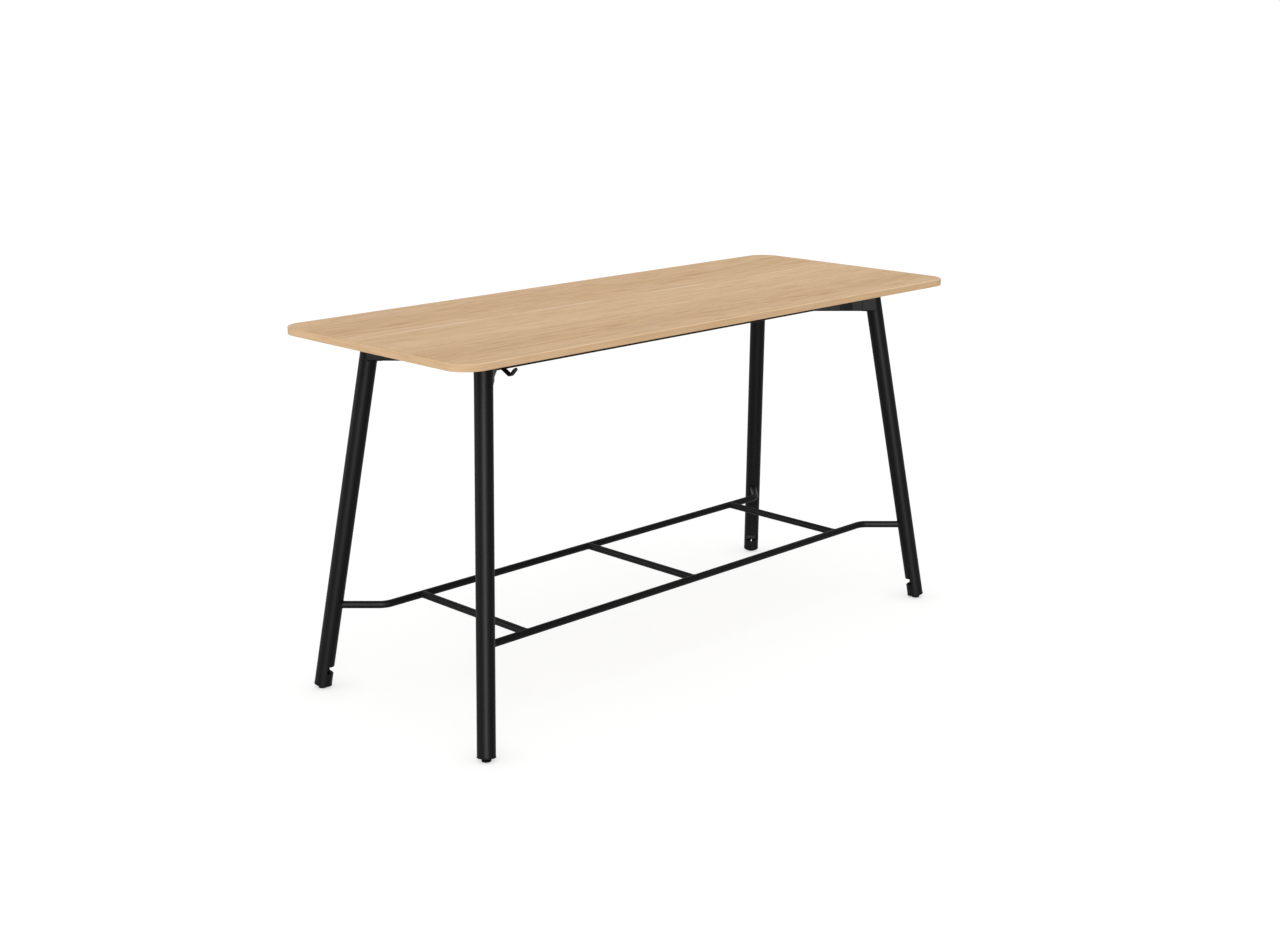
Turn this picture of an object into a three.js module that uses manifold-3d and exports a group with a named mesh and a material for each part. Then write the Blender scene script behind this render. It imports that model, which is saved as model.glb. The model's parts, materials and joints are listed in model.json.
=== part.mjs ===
// A standing-height meeting table: an oak board on a black steel frame, with four splayed
// round legs, a welded foot rest of bent tube, levelling glides and a bag hook.
// Millimetres, +Z up. The origin is on the floor under the middle of the board, +X runs along
// the board and -Y is the front.

import * as THREE from 'three';
import { mergeVertices } from 'three/addons/utils/BufferGeometryUtils.js';
import Module from 'manifold-3d';

const wasm = await Module();
wasm.setup();

// Driving dimensions: the board
const TABLE_HEIGHT = 1062;
const BOARD_LENGTH = 2000;
const BOARD_WIDTH = 793;
const BOARD_THICKNESS = 20;
const BOARD_CORNER_RADIUS = 70;
const BOARD_ARRIS = 2;

// Driving dimensions: the legs
const LEG_DIAMETER = 50;
const LEG_WALL = 2;
const LEG_SPLAY = THREE.MathUtils.degToRad(10);
const LEG_END_INSET = 198;
const LEG_SIDE_INSET = 161;
const LEG_HEAD_LENGTH = 41.5;
const LEG_HEAD_SPIGOT = 40;
const CABLE_BORE = 32;
const CABLE_WAY_HEIGHT = 44;
const NOTCH_SILL = 33;
const NOTCH_HEIGHT = 24;
const NOTCH_DEPTH = 15;
const NOTCH_CORNER = 4;

// Driving dimensions: the upper frame of rectangular tube
const RAIL_WIDTH = 40;
const RAIL_HEIGHT = 79;
const RAIL_WALL = 2;
const RAIL_SPACING = 203;
const STUB_LENGTH = 32;
const COLLAR_LENGTH = 38;
const COUPLER_SPIGOT = 30;
const COUPLER_WALL = 5;
const CROSS_TUBE_INSET = 348;
const CROSS_TUBE_HEIGHT = 40;
const LUG_INSET = 108;
const LUG_LENGTH = 50;
const LUG_WIDTH = 30;
const LUG_THICKNESS = 4;
const LUG_SLOT_LENGTH = 14;
const LUG_SLOT_WIDTH = 6;

// Driving dimensions: the foot rest
const FOOT_BAR_DIAMETER = 21.4;
const FOOT_BAR_WALL = 1.5;
const FOOT_BAR_HEIGHT = 251;
const FOOT_BAR_SPACING = 459;
const FOOT_BAR_BEND = 50;
const FOOT_CROSS_INSET = 132;

// Driving dimensions: the levelling glides
const INSERT_LENGTH = 20;
const INSERT_LIP_HEIGHT = 3;
const INSERT_LIP_OVERHANG = 0.6;
const STUD_DIAMETER = 8;
const STUD_TOP = 44;
const STUD_NECK_DIAMETER = 5;
const HEX_SIDES = 6;
const HEX_ACROSS_FLATS = 10;
const HEX_HEIGHT = 2.4;
const GLIDE_STANDOFF = 9.7;
const BALL_DIAMETER = 7;
const BALL_HEIGHT = 4.6;
const PAD_DIAMETER = 26;
const PAD_RIM_HEIGHT = 3.6;
const PAD_HEIGHT = 5.6;
const PAD_CROWN_DIAMETER = 10;
const PAD_CHAMFER = 1;

// Driving dimensions: the bag hook, a bent steel strip on the front rail
const HOOK_INSET = 22;
const HOOK_WIDTH = 15;
const HOOK_STRIP = 5;
const HOOK_BASE = 52;
const HOOK_LEAVE_HEIGHT = 8;
const HOOK_REACH = 35.5;
const HOOK_DROP = 18;
const HOOK_TIP_REACH = 18;
const HOOK_TIP_RISE = 18;
const HOOK_BEND = 6;

// Clearances and facets
const CLEARANCE = 0.3;
const TUBE_SIDES = 40;
const BAR_SIDES = 16;
const GLIDE_SIDES = 20;
const BEND_STEPS = 5;
const CORNER_STEPS = 8;
const SMALL_ARC_STEPS = 3;
const BALL_STEPS = 5;
const ARRIS_STEPS = 2;

// Worked out from the driving dimensions
const LEG_RADIUS = LEG_DIAMETER / 2;
const LEG_BORE_RADIUS = LEG_RADIUS - LEG_WALL;
const FOOT_BAR_RADIUS = FOOT_BAR_DIAMETER / 2;
const BALL_RADIUS = BALL_DIAMETER / 2;
const UNDERSIDE = TABLE_HEIGHT - BOARD_THICKNESS;
const FRAME_TOP = UNDERSIDE - CLEARANCE;
const FRAME_BOTTOM = FRAME_TOP - RAIL_HEIGHT;
const LEG_TOP_X = BOARD_LENGTH / 2 - LEG_END_INSET;
const LEG_TOP_Y = BOARD_WIDTH / 2 - LEG_SIDE_INSET;
const RAIL_Y = RAIL_SPACING / 2;
const RAIL_INNER_Y = RAIL_Y - RAIL_WIDTH / 2;
const BORE_WIDTH = RAIL_WIDTH - 2 * RAIL_WALL;

// The legs and arms of each end lie on two diagonals that cross at the end's hub, on the
// table's centre line. Reach is the distance out from the hub along a diagonal.
const HUB_X = LEG_TOP_X - LEG_TOP_Y;
const DIAGONAL = Math.PI / 4;
const MITRE_SLOPE = Math.tan(DIAGONAL / 2);
const RAIL_END_X = HUB_X + RAIL_Y;
const FOOT_BEND_X = HUB_X + FOOT_BAR_SPACING / 2;
const reachOf = (sideways) => sideways / Math.sin(DIAGONAL);
const legReachAt = (z) => reachOf(LEG_TOP_Y) + (UNDERSIDE - z) * Math.tan(LEG_SPLAY);
const FLOOR_REACH = legReachAt(0);
const HEAD_OUTER = legReachAt(FRAME_BOTTOM);
const HEAD_INNER = HEAD_OUTER - LEG_HEAD_LENGTH;
const STUB_OUTER = HEAD_INNER - CLEARANCE;
const STUB_INNER = STUB_OUTER - STUB_LENGTH;
const COLLAR_OUTER = STUB_INNER - CLEARANCE;
const COLLAR_INNER = COLLAR_OUTER - COLLAR_LENGTH;
const ARM_OUTER = COLLAR_INNER - CLEARANCE;
const ARM_INNER = reachOf(RAIL_Y) + CLEARANCE;

// Heights along a leg's own axis, up from where the axis meets the floor
const axial = (z) => z / Math.cos(LEG_SPLAY);
const TUBE_END = GLIDE_STANDOFF + INSERT_LIP_HEIGHT + CLEARANCE;
const HEAD_SEAM = axial(FRAME_BOTTOM);
const BALL_CENTRE = axial(BALL_HEIGHT);

// Finishes
const FINISH = {
  oak: { color: '#ccad89', roughness: 0.55, metalness: 0 },
  blackCoat: { color: '#1e1e1f', roughness: 0.45, metalness: 0.1 },
  blackPlastic: { color: '#121213', roughness: 0.6, metalness: 0 },
  zinc: { color: '#a7a9ab', roughness: 0.35, metalness: 0.9 },
};

const CORNERS = [
  { name: 'front_left', x: -1, y: -1 },
  { name: 'front_right', x: 1, y: -1 },
  { name: 'rear_left', x: -1, y: 1 },
  { name: 'rear_right', x: 1, y: 1 },
];
const SIDES = [
  { name: 'front', y: -1 },
  { name: 'rear', y: 1 },
];
const PLACES = [
  { name: 'left', x: -1 },
  { name: 'middle', x: 0 },
  { name: 'right', x: 1 },
];

// Solids and geometry

function toSolid(geometry) {
  const bare = geometry.clone();
  bare.deleteAttribute('normal');
  bare.deleteAttribute('uv');
  const merged = mergeVertices(bare);
  return new wasm.Manifold(new wasm.Mesh({
    numProp: 3,
    vertProperties: new Float32Array(merged.attributes.position.array),
    triVerts: new Uint32Array(merged.index.array),
  }));
}

function toGeometry(solid) {
  const facets = solid.getMesh();
  const geometry = new THREE.BufferGeometry();
  geometry.setAttribute('position', new THREE.BufferAttribute(facets.vertProperties, 3));
  geometry.setIndex(new THREE.BufferAttribute(facets.triVerts, 1));
  geometry.computeVertexNormals();
  return geometry;
}

function cut(body, ...tools) {
  const solid = tools.reduce((left, tool) => left.subtract(toSolid(tool)), toSolid(body));
  return toGeometry(solid);
}

function join(body, ...others) {
  const solid = others.reduce((left, other) => left.add(toSolid(other)), toSolid(body));
  return toGeometry(solid);
}

function keepInside(body, bounds) {
  return toGeometry(toSolid(body).intersect(toSolid(bounds)));
}

// A box between two corners.
function block(low, high) {
  const size = high.map((value, i) => value - low[i]);
  const middle = high.map((value, i) => (value + low[i]) / 2);
  return new THREE.BoxGeometry(...size).translate(...middle);
}

// A round bar along Z between two heights.
function rod(radius, bottom, top, sides = TUBE_SIDES) {
  return new THREE.CylinderGeometry(radius, radius, top - bottom, sides)
    .rotateX(Math.PI / 2)
    .translate(0, 0, (top + bottom) / 2);
}

// A profile of [radius, height] points turned about Z.
function turned(profile) {
  const points = profile.map(([radius, height]) => new THREE.Vector2(radius, height));
  return new THREE.LatheGeometry(points, GLIDE_SIDES).rotateX(Math.PI / 2);
}

// Points of an arc in a turned profile, from one angle above the horizontal to another.
function profileArc(centreHeight, radius, from, to) {
  return Array.from({ length: BALL_STEPS + 1 }, (_, i) => {
    const angle = from + ((to - from) * i) / BALL_STEPS;
    return [Math.max(0, radius * Math.cos(angle)), centreHeight + radius * Math.sin(angle)];
  });
}

function roundedRectangle(left, bottom, right, top, radius) {
  const shape = new THREE.Shape();
  shape.moveTo(left + radius, bottom);
  shape.lineTo(right - radius, bottom);
  shape.absarc(right - radius, bottom + radius, radius, -Math.PI / 2, 0);
  shape.lineTo(right, top - radius);
  shape.absarc(right - radius, top - radius, radius, 0, Math.PI / 2);
  shape.lineTo(left + radius, top);
  shape.absarc(left + radius, top - radius, radius, Math.PI / 2, Math.PI);
  shape.lineTo(left, bottom + radius);
  shape.absarc(left + radius, bottom + radius, radius, Math.PI, Math.PI * 1.5);
  return shape;
}

// A straight or bent run, given as stations so that it has steps only where it bends.
class Run extends THREE.Curve {
  constructor(stations) {
    super();
    this.stations = stations;
  }

  station(u) {
    return this.stations[Math.round(u * (this.stations.length - 1))];
  }

  getPoint(u, target = new THREE.Vector3()) {
    return target.copy(this.station(u).point);
  }

  getPointAt(u, target) {
    return this.getPoint(u, target);
  }

  getTangent(u, target = new THREE.Vector3()) {
    return target.copy(this.station(u).tangent);
  }

  getTangentAt(u, target) {
    return this.getTangent(u, target);
  }
}

// Stations along corner points, with each inner corner rounded to a bend radius.
function bentRun(corners, bendRadius) {
  const points = corners.map((corner) => new THREE.Vector3(...corner));
  const heading = (i) => points[i + 1].clone().sub(points[i]).normalize();
  const last = points.length - 1;
  const stations = [{ point: points[0], tangent: heading(0) }];
  for (let i = 1; i < last; i += 1) {
    const before = heading(i - 1);
    const after = heading(i);
    const turn = before.angleTo(after);
    const axis = before.clone().cross(after).normalize();
    const inward = axis.clone().cross(before);
    const start = points[i].clone().addScaledVector(before, -bendRadius * Math.tan(turn / 2));
    const centre = start.clone().addScaledVector(inward, bendRadius);
    for (let step = 0; step <= BEND_STEPS; step += 1) {
      const angle = (turn * step) / BEND_STEPS;
      const spoke = inward.clone().multiplyScalar(-bendRadius).applyAxisAngle(axis, angle);
      const tangent = before.clone().applyAxisAngle(axis, angle);
      stations.push({ point: centre.clone().add(spoke), tangent });
    }
  }
  stations.push({ point: points[last], tangent: heading(last - 1) });
  return new Run(stations);
}

function sweep(section, run, curveSegments = 1) {
  const steps = run.stations.length - 1;
  return new THREE.ExtrudeGeometry(section, { steps, curveSegments, extrudePath: run });
}

// A hollow round tube along a run.
function footTube(run) {
  const section = new THREE.Shape();
  section.absarc(0, 0, FOOT_BAR_RADIUS, 0, Math.PI * 2);
  const bore = new THREE.Path();
  bore.absarc(0, 0, FOOT_BAR_RADIUS - FOOT_BAR_WALL, 0, Math.PI * 2, true);
  section.holes.push(bore);
  return sweep(section, run, BAR_SIDES / 2);
}

// A rectangular tube along X. Each end is cut across the width on a slope of X over Y.
function railTube(start, end, startSlope = 0, endSlope = 0) {
  const outline = (width, past) => {
    const half = width / 2;
    const shape = new THREE.Shape();
    shape.moveTo(start - past - half * startSlope, -half);
    shape.lineTo(end + past - half * endSlope, -half);
    shape.lineTo(end + past + half * endSlope, half);
    shape.lineTo(start - past + half * startSlope, half);
    return shape;
  };
  const prism = (shape, low, high) => new THREE.ExtrudeGeometry(
    shape,
    { depth: high - low, bevelEnabled: false },
  ).translate(0, 0, low);
  const outer = prism(outline(RAIL_WIDTH, 0), FRAME_BOTTOM, FRAME_TOP);
  const bore = prism(outline(BORE_WIDTH, RAIL_WALL), FRAME_BOTTOM + RAIL_WALL, FRAME_TOP - RAIL_WALL);
  return cut(outer, bore);
}

// A half space above a level height, as seen in a leg's own tilted frame.
function levelAbove(z) {
  const size = TABLE_HEIGHT;
  return new THREE.BoxGeometry(size, size, size)
    .translate(0, 0, size / 2)
    .rotateY(LEG_SPLAY)
    .translate(0, 0, axial(z));
}

// Places geometry from a leg's tilted frame into its corner's frame.
function leaned(geometry) {
  return geometry.rotateY(-LEG_SPLAY).translate(FLOOR_REACH, 0, 0);
}

function mesh(name, geometry, finish) {
  const part = new THREE.Mesh(geometry, new THREE.MeshStandardMaterial(finish));
  part.name = name;
  return part;
}

// The board: a rounded rectangle with its arrises eased.
function boardGeometry() {
  const outline = roundedRectangle(
    -BOARD_LENGTH / 2,
    -BOARD_WIDTH / 2,
    BOARD_LENGTH / 2,
    BOARD_WIDTH / 2,
    BOARD_CORNER_RADIUS,
  );
  return new THREE.ExtrudeGeometry(outline, {
    depth: BOARD_THICKNESS - 2 * BOARD_ARRIS,
    bevelThickness: BOARD_ARRIS,
    bevelSize: BOARD_ARRIS,
    bevelOffset: -BOARD_ARRIS,
    bevelSegments: ARRIS_STEPS,
    curveSegments: CORNER_STEPS,
  }).translate(0, 0, UNDERSIDE + BOARD_ARRIS);
}

// A long rail, mitred to the arms that leave it outwards at both ends.
function railGeometry() {
  return railTube(-RAIL_END_X, RAIL_END_X, -MITRE_SLOPE, MITRE_SLOPE);
}

// A short tube across the frame, between the rails' inner faces.
function crossTubeGeometry() {
  const end = RAIL_INNER_Y - CLEARANCE;
  const half = RAIL_WIDTH / 2;
  const bore = BORE_WIDTH / 2;
  const low = FRAME_TOP - CROSS_TUBE_HEIGHT;
  return cut(
    block([-half, -end, low], [half, end, FRAME_TOP]),
    block([-bore, -RAIL_Y, low + RAIL_WALL], [bore, RAIL_Y, FRAME_TOP - RAIL_WALL]),
  );
}

// A slotted lug on a rail's inner face, through which the board is screwed down.
function lugGeometry() {
  const shape = roundedRectangle(
    -LUG_LENGTH / 2,
    0,
    LUG_LENGTH / 2,
    LUG_WIDTH,
    LUG_SLOT_WIDTH,
  );
  const run = (LUG_SLOT_LENGTH - LUG_SLOT_WIDTH) / 2;
  const middle = LUG_WIDTH / 2;
  const slot = new THREE.Path();
  slot.absarc(run, middle, LUG_SLOT_WIDTH / 2, -Math.PI / 2, Math.PI / 2);
  slot.absarc(-run, middle, LUG_SLOT_WIDTH / 2, Math.PI / 2, Math.PI * 1.5);
  shape.holes.push(slot);
  return new THREE.ExtrudeGeometry(shape, {
    depth: LUG_THICKNESS,
    bevelEnabled: false,
    curveSegments: SMALL_ARC_STEPS,
  }).translate(0, 0, FRAME_TOP - LUG_THICKNESS);
}

// The joint block between a leg's stub and the frame's arm: a collar flush with both tubes
// and a spigot in each, open along its length for a cable.
function couplerGeometry() {
  const fit = RAIL_WALL + CLEARANCE;
  const spigot = RAIL_WIDTH / 2 - fit;
  const way = spigot - COUPLER_WALL;
  const outer = COLLAR_OUTER + COUPLER_SPIGOT;
  const inner = COLLAR_INNER - COUPLER_SPIGOT;
  const half = RAIL_WIDTH / 2;
  const low = FRAME_BOTTOM + fit;
  const high = FRAME_TOP - fit;
  const body = join(
    block([COLLAR_INNER, -half, FRAME_BOTTOM], [COLLAR_OUTER, half, FRAME_TOP]),
    block([inner, -spigot, low], [outer, spigot, high]),
  );
  return cut(body, block(
    [inner - COUPLER_WALL, -way, low + COUPLER_WALL],
    [outer + COUPLER_WALL, way, high - COUPLER_WALL],
  ));
}

// The leg head: flat cheeks tangent to the leg, the leg's own round outside above the seam,
// a spigot down into the tube and a bent cable way from the stub into the leg.
function legHeadGeometry() {
  const spigotRadius = LEG_BORE_RADIUS - CLEARANCE;
  const spigotEnd = HEAD_SEAM - LEG_HEAD_SPIGOT;
  const past = axial(TABLE_HEIGHT);
  const cheeks = block([HEAD_INNER, -LEG_RADIUS, FRAME_BOTTOM], [HEAD_OUTER, LEG_RADIUS, FRAME_TOP]);
  const level = block(
    [HEAD_INNER, -LEG_DIAMETER, FRAME_BOTTOM],
    [FLOOR_REACH, LEG_DIAMETER, FRAME_TOP],
  );
  const round = keepInside(leaned(rod(LEG_RADIUS, spigotEnd, past)), level);
  const spigot = cut(rod(spigotRadius, spigotEnd, past), levelAbove(FRAME_BOTTOM + LEG_WALL));
  const wayTop = (FRAME_TOP + FRAME_BOTTOM + CABLE_WAY_HEIGHT) / 2;
  return cut(
    join(cheeks, round, leaned(spigot)),
    leaned(cut(rod(CABLE_BORE / 2, spigotEnd - CABLE_BORE, past), levelAbove(wayTop))),
    block(
      [STUB_INNER, -CABLE_BORE / 2, wayTop - CABLE_WAY_HEIGHT],
      [legReachAt(wayTop), CABLE_BORE / 2, wayTop],
    ),
  );
}

// A leg tube in its own frame: square at the foot, level under the head, with a cable notch
// on the side that faces the middle of the table.
function legGeometry() {
  const past = axial(UNDERSIDE);
  const sill = TUBE_END + NOTCH_SILL;
  const notch = new THREE.ExtrudeGeometry(
    roundedRectangle(
      -LEG_DIAMETER,
      sill,
      NOTCH_DEPTH - LEG_RADIUS,
      sill + NOTCH_HEIGHT,
      NOTCH_CORNER,
    ),
    { depth: LEG_DIAMETER * 2, bevelEnabled: false, curveSegments: SMALL_ARC_STEPS },
  ).rotateX(Math.PI / 2).translate(0, LEG_DIAMETER, 0);
  return cut(
    rod(LEG_RADIUS, TUBE_END, past),
    rod(LEG_BORE_RADIUS, TUBE_END - LEG_WALL, past + LEG_DIAMETER),
    levelAbove(FRAME_BOTTOM - CLEARANCE),
    notch,
  );
}

// The end insert: a lip under the tube's rim, a plug inside it and a bore for the stud.
function insertGeometry() {
  const bore = STUD_DIAMETER / 2 + CLEARANCE;
  const lip = LEG_RADIUS + INSERT_LIP_OVERHANG;
  const plug = LEG_BORE_RADIUS - CLEARANCE;
  const lipTop = GLIDE_STANDOFF + INSERT_LIP_HEIGHT;
  const top = lipTop + INSERT_LENGTH;
  return turned([
    [bore, GLIDE_STANDOFF],
    [lip, GLIDE_STANDOFF],
    [lip, lipTop],
    [plug, lipTop],
    [plug, top],
    [bore, top],
    [bore, GLIDE_STANDOFF],
  ]);
}

// The levelling stud: a ball in the pad, a neck, a spanner hexagon and the shank.
function studGeometry() {
  const neck = STUD_NECK_DIAMETER / 2;
  const hexTop = GLIDE_STANDOFF - CLEARANCE;
  const hexBottom = hexTop - HEX_HEIGHT;
  const neckAngle = Math.acos(neck / BALL_RADIUS);
  const shank = STUD_DIAMETER / 2;
  const hexRadius = HEX_ACROSS_FLATS / 2 / Math.cos(Math.PI / HEX_SIDES);
  const bar = turned([
    ...profileArc(BALL_CENTRE, BALL_RADIUS, -Math.PI / 2, neckAngle),
    [neck, (hexBottom + hexTop) / 2],
    [shank, (hexBottom + hexTop) / 2],
    [shank, STUD_TOP],
    [0, STUD_TOP],
  ]);
  return join(bar, rod(hexRadius, hexBottom, hexTop, HEX_SIDES));
}

// The swivelling pad: flat on the floor, with a socket round the stud's ball.
function padGeometry() {
  const radius = PAD_DIAMETER / 2;
  const crown = PAD_CROWN_DIAMETER / 2;
  const socket = BALL_RADIUS + CLEARANCE;
  const mouthAngle = Math.asin((PAD_HEIGHT - BALL_HEIGHT) / socket);
  return turned([
    [0, 0],
    [radius - PAD_CHAMFER, 0],
    [radius, PAD_CHAMFER],
    [radius, PAD_RIM_HEIGHT],
    [crown, PAD_HEIGHT],
    ...profileArc(BALL_HEIGHT, socket, mouthAngle, -Math.PI / 2),
  ]);
}

// A long bar of the foot rest, at the front: straight along the table, bent out to the legs
// at both ends and coped to their round.
function footBarGeometry() {
  const y = -FOOT_BAR_SPACING / 2;
  const legReach = legReachAt(FOOT_BAR_HEIGHT);
  const endX = HUB_X + legReach * Math.cos(DIAGONAL);
  const endY = -legReach * Math.sin(DIAGONAL);
  const run = bentRun([
    [-endX, endY, FOOT_BAR_HEIGHT],
    [-FOOT_BEND_X, y, FOOT_BAR_HEIGHT],
    [FOOT_BEND_X, y, FOOT_BAR_HEIGHT],
    [endX, endY, FOOT_BAR_HEIGHT],
  ], FOOT_BAR_BEND);
  const copes = CORNERS.filter((corner) => corner.y < 0).map((corner) => {
    const leg = leaned(rod(LEG_RADIUS + CLEARANCE, 0, axial(FOOT_BAR_HEIGHT * 2)));
    return leg.rotateZ(outwardAngle(corner)).translate(corner.x * HUB_X, 0, 0);
  });
  return cut(footTube(run), ...copes);
}

// A cross bar of the foot rest, coped to the two long bars.
function footCrossGeometry() {
  const y = FOOT_BAR_SPACING / 2;
  const run = bentRun([[0, -y, FOOT_BAR_HEIGHT], [0, y, FOOT_BAR_HEIGHT]], 0);
  const copes = [-y, y].map((side) => rod(
    FOOT_BAR_RADIUS + CLEARANCE,
    -FOOT_BAR_DIAMETER,
    FOOT_BAR_DIAMETER,
  ).rotateY(Math.PI / 2).translate(0, side, FOOT_BAR_HEIGHT));
  return cut(footTube(run), ...copes);
}

// The bag hook: a strip flat on the front rail, bent out and down, then up to a round tip.
function hookGeometry() {
  const face = -(RAIL_Y + RAIL_WIDTH / 2 + CLEARANCE + HOOK_STRIP / 2);
  const leave = FRAME_BOTTOM + HOOK_LEAVE_HEIGHT;
  const lowY = face - HOOK_REACH;
  const tip = [0, lowY - HOOK_TIP_REACH, leave - HOOK_DROP + HOOK_TIP_RISE];
  const run = bentRun([
    [0, face, leave + HOOK_BASE],
    [0, face, leave],
    [0, lowY, leave - HOOK_DROP],
    tip,
  ], HOOK_BEND);
  const strip = new THREE.Shape();
  strip.moveTo(-HOOK_STRIP / 2, -HOOK_WIDTH / 2);
  strip.lineTo(HOOK_STRIP / 2, -HOOK_WIDTH / 2);
  strip.lineTo(HOOK_STRIP / 2, HOOK_WIDTH / 2);
  strip.lineTo(-HOOK_STRIP / 2, HOOK_WIDTH / 2);
  const roundEnd = rod(HOOK_WIDTH / 2, -HOOK_STRIP / 2, HOOK_STRIP / 2)
    .rotateX(-Math.atan2(HOOK_TIP_RISE, HOOK_TIP_REACH))
    .translate(...tip);
  return join(sweep(strip, run), roundEnd);
}

function outwardAngle(corner) {
  return Math.atan2(corner.y, corner.x);
}

// One corner of the table: the arm, the coupler and the leg with its glide.
function cornerGroup(corner) {
  const { name } = corner;
  const slope = corner.x * corner.y * MITRE_SLOPE;
  const group = new THREE.Group();
  group.position.x = corner.x * HUB_X;
  group.rotation.z = outwardAngle(corner);
  group.add(mesh(`arm_${name}`, railTube(ARM_INNER, ARM_OUTER, slope), FINISH.blackCoat));
  group.add(mesh(`coupler_${name}`, couplerGeometry(), FINISH.blackPlastic));
  group.add(mesh(`leg_stub_${name}`, railTube(STUB_INNER, STUB_OUTER), FINISH.blackCoat));
  group.add(mesh(`leg_head_${name}`, legHeadGeometry(), FINISH.blackCoat));

  const leg = new THREE.Group();
  leg.position.x = FLOOR_REACH;
  leg.rotation.y = -LEG_SPLAY;
  leg.add(mesh(`leg_${name}`, legGeometry(), FINISH.blackCoat));
  leg.add(mesh(`foot_insert_${name}`, insertGeometry(), FINISH.blackPlastic));
  leg.add(mesh(`glide_stud_${name}`, studGeometry(), FINISH.zinc));
  group.add(leg);

  const pad = mesh(`glide_pad_${name}`, padGeometry(), FINISH.blackPlastic);
  pad.position.x = legReachAt(BALL_HEIGHT);
  group.add(pad);
  return group;
}

// One long side of the welded frame. Both are made as the front, and the rear one is turned
// half round.
function sideGroup(side) {
  const group = new THREE.Group();
  group.rotation.z = side.y > 0 ? Math.PI : 0;
  const rail = mesh(`${side.name}_rail`, railGeometry(), FINISH.blackCoat);
  rail.position.y = -RAIL_Y;
  group.add(rail);
  group.add(mesh(`footrest_bar_${side.name}`, footBarGeometry(), FINISH.blackCoat));
  PLACES.forEach((place) => {
    const lug = mesh(`fixing_lug_${side.name}_${place.name}`, lugGeometry(), FINISH.blackCoat);
    lug.position.x = -side.y * place.x * (RAIL_END_X - LUG_INSET);
    lug.position.y = -RAIL_INNER_Y + CLEARANCE;
    group.add(lug);
  });
  return group;
}

const table = new THREE.Group();
table.add(mesh('table_top', boardGeometry(), FINISH.oak));
SIDES.forEach((side) => table.add(sideGroup(side)));
CORNERS.forEach((corner) => table.add(cornerGroup(corner)));

PLACES.filter((place) => place.x !== 0).forEach((place) => {
  const tube = mesh(`cross_tube_${place.name}`, crossTubeGeometry(), FINISH.blackCoat);
  tube.position.x = place.x * (RAIL_END_X - CROSS_TUBE_INSET);
  table.add(tube);
});

PLACES.forEach((place) => {
  const bar = mesh(`footrest_cross_${place.name}`, footCrossGeometry(), FINISH.blackCoat);
  bar.position.x = place.x * (FOOT_BEND_X - FOOT_CROSS_INSET);
  table.add(bar);
});

const hook = mesh('bag_hook', hookGeometry(), FINISH.blackCoat);
hook.position.x = HOOK_INSET - RAIL_END_X;
table.add(hook);

export default table;
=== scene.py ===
"""Looks of a standing-height meeting table: an oak board on a black frame with splayed legs.

Lengths are metres in the shared frame: +Z up, the floor at zero, the board's length along X.
"""

import json
import logging
import math
from dataclasses import dataclass, field
from enum import Enum
from typing import Any, Sequence

import bmesh
import bpy
from mathutils import Matrix, Vector

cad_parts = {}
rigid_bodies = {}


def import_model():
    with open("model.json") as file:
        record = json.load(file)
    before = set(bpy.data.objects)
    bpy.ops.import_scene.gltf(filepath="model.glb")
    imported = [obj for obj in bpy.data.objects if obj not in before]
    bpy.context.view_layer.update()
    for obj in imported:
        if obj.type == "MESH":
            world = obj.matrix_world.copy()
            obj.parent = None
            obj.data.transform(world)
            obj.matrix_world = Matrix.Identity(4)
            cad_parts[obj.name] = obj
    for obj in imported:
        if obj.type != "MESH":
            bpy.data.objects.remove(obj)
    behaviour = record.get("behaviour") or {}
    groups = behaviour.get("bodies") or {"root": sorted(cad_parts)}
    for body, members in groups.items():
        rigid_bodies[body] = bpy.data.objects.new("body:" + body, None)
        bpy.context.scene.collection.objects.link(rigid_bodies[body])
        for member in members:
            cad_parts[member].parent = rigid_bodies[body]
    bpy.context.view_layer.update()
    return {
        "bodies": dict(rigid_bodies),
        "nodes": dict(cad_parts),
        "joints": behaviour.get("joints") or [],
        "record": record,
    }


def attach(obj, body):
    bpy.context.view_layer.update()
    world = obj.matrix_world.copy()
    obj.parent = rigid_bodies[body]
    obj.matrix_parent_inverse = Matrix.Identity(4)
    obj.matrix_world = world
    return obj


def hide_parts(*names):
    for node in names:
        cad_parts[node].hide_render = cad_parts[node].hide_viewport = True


LOG = logging.getLogger("standing_table")

Point2 = tuple[float, float]
Ring = list[Vector]
Colour = tuple[float, float, float, float]


class Slot(Enum):
    """Material slots of the part's record."""

    OAK = "oak_board"
    COAT = "black_coat"
    PLASTIC = "black_plastic"
    ZINC = "zinc_steel"


class Corner(Enum):
    """The table's corners, as signs of X and Y."""

    FRONT_LEFT = (-1, -1)
    FRONT_RIGHT = (1, -1)
    REAR_LEFT = (-1, 1)
    REAR_RIGHT = (1, 1)

    @property
    def label(self) -> str:
        """The corner's part in node names."""
        return self.name.lower()


class Side(Enum):
    """The table's long sides, as the sign of Y."""

    FRONT = -1
    REAR = 1

    @property
    def label(self) -> str:
        """The side's part in node names."""
        return self.name.lower()


class Place(Enum):
    """Places along the table, as the sign of X."""

    LEFT = -1
    MIDDLE = 0
    RIGHT = 1

    @property
    def label(self) -> str:
        """The place's part in node names."""
        return self.name.lower()


class Ends(Enum):
    """How a loft's first and last rings are closed."""

    CAPPED = "capped"
    LOOPED = "looped"


class Grain(Enum):
    """Where a veneer takes its grain direction from, as an output of Texture Coordinate."""

    ALONG_THE_PERIMETER = 2
    ALONG_THE_BOARD = 3


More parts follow.
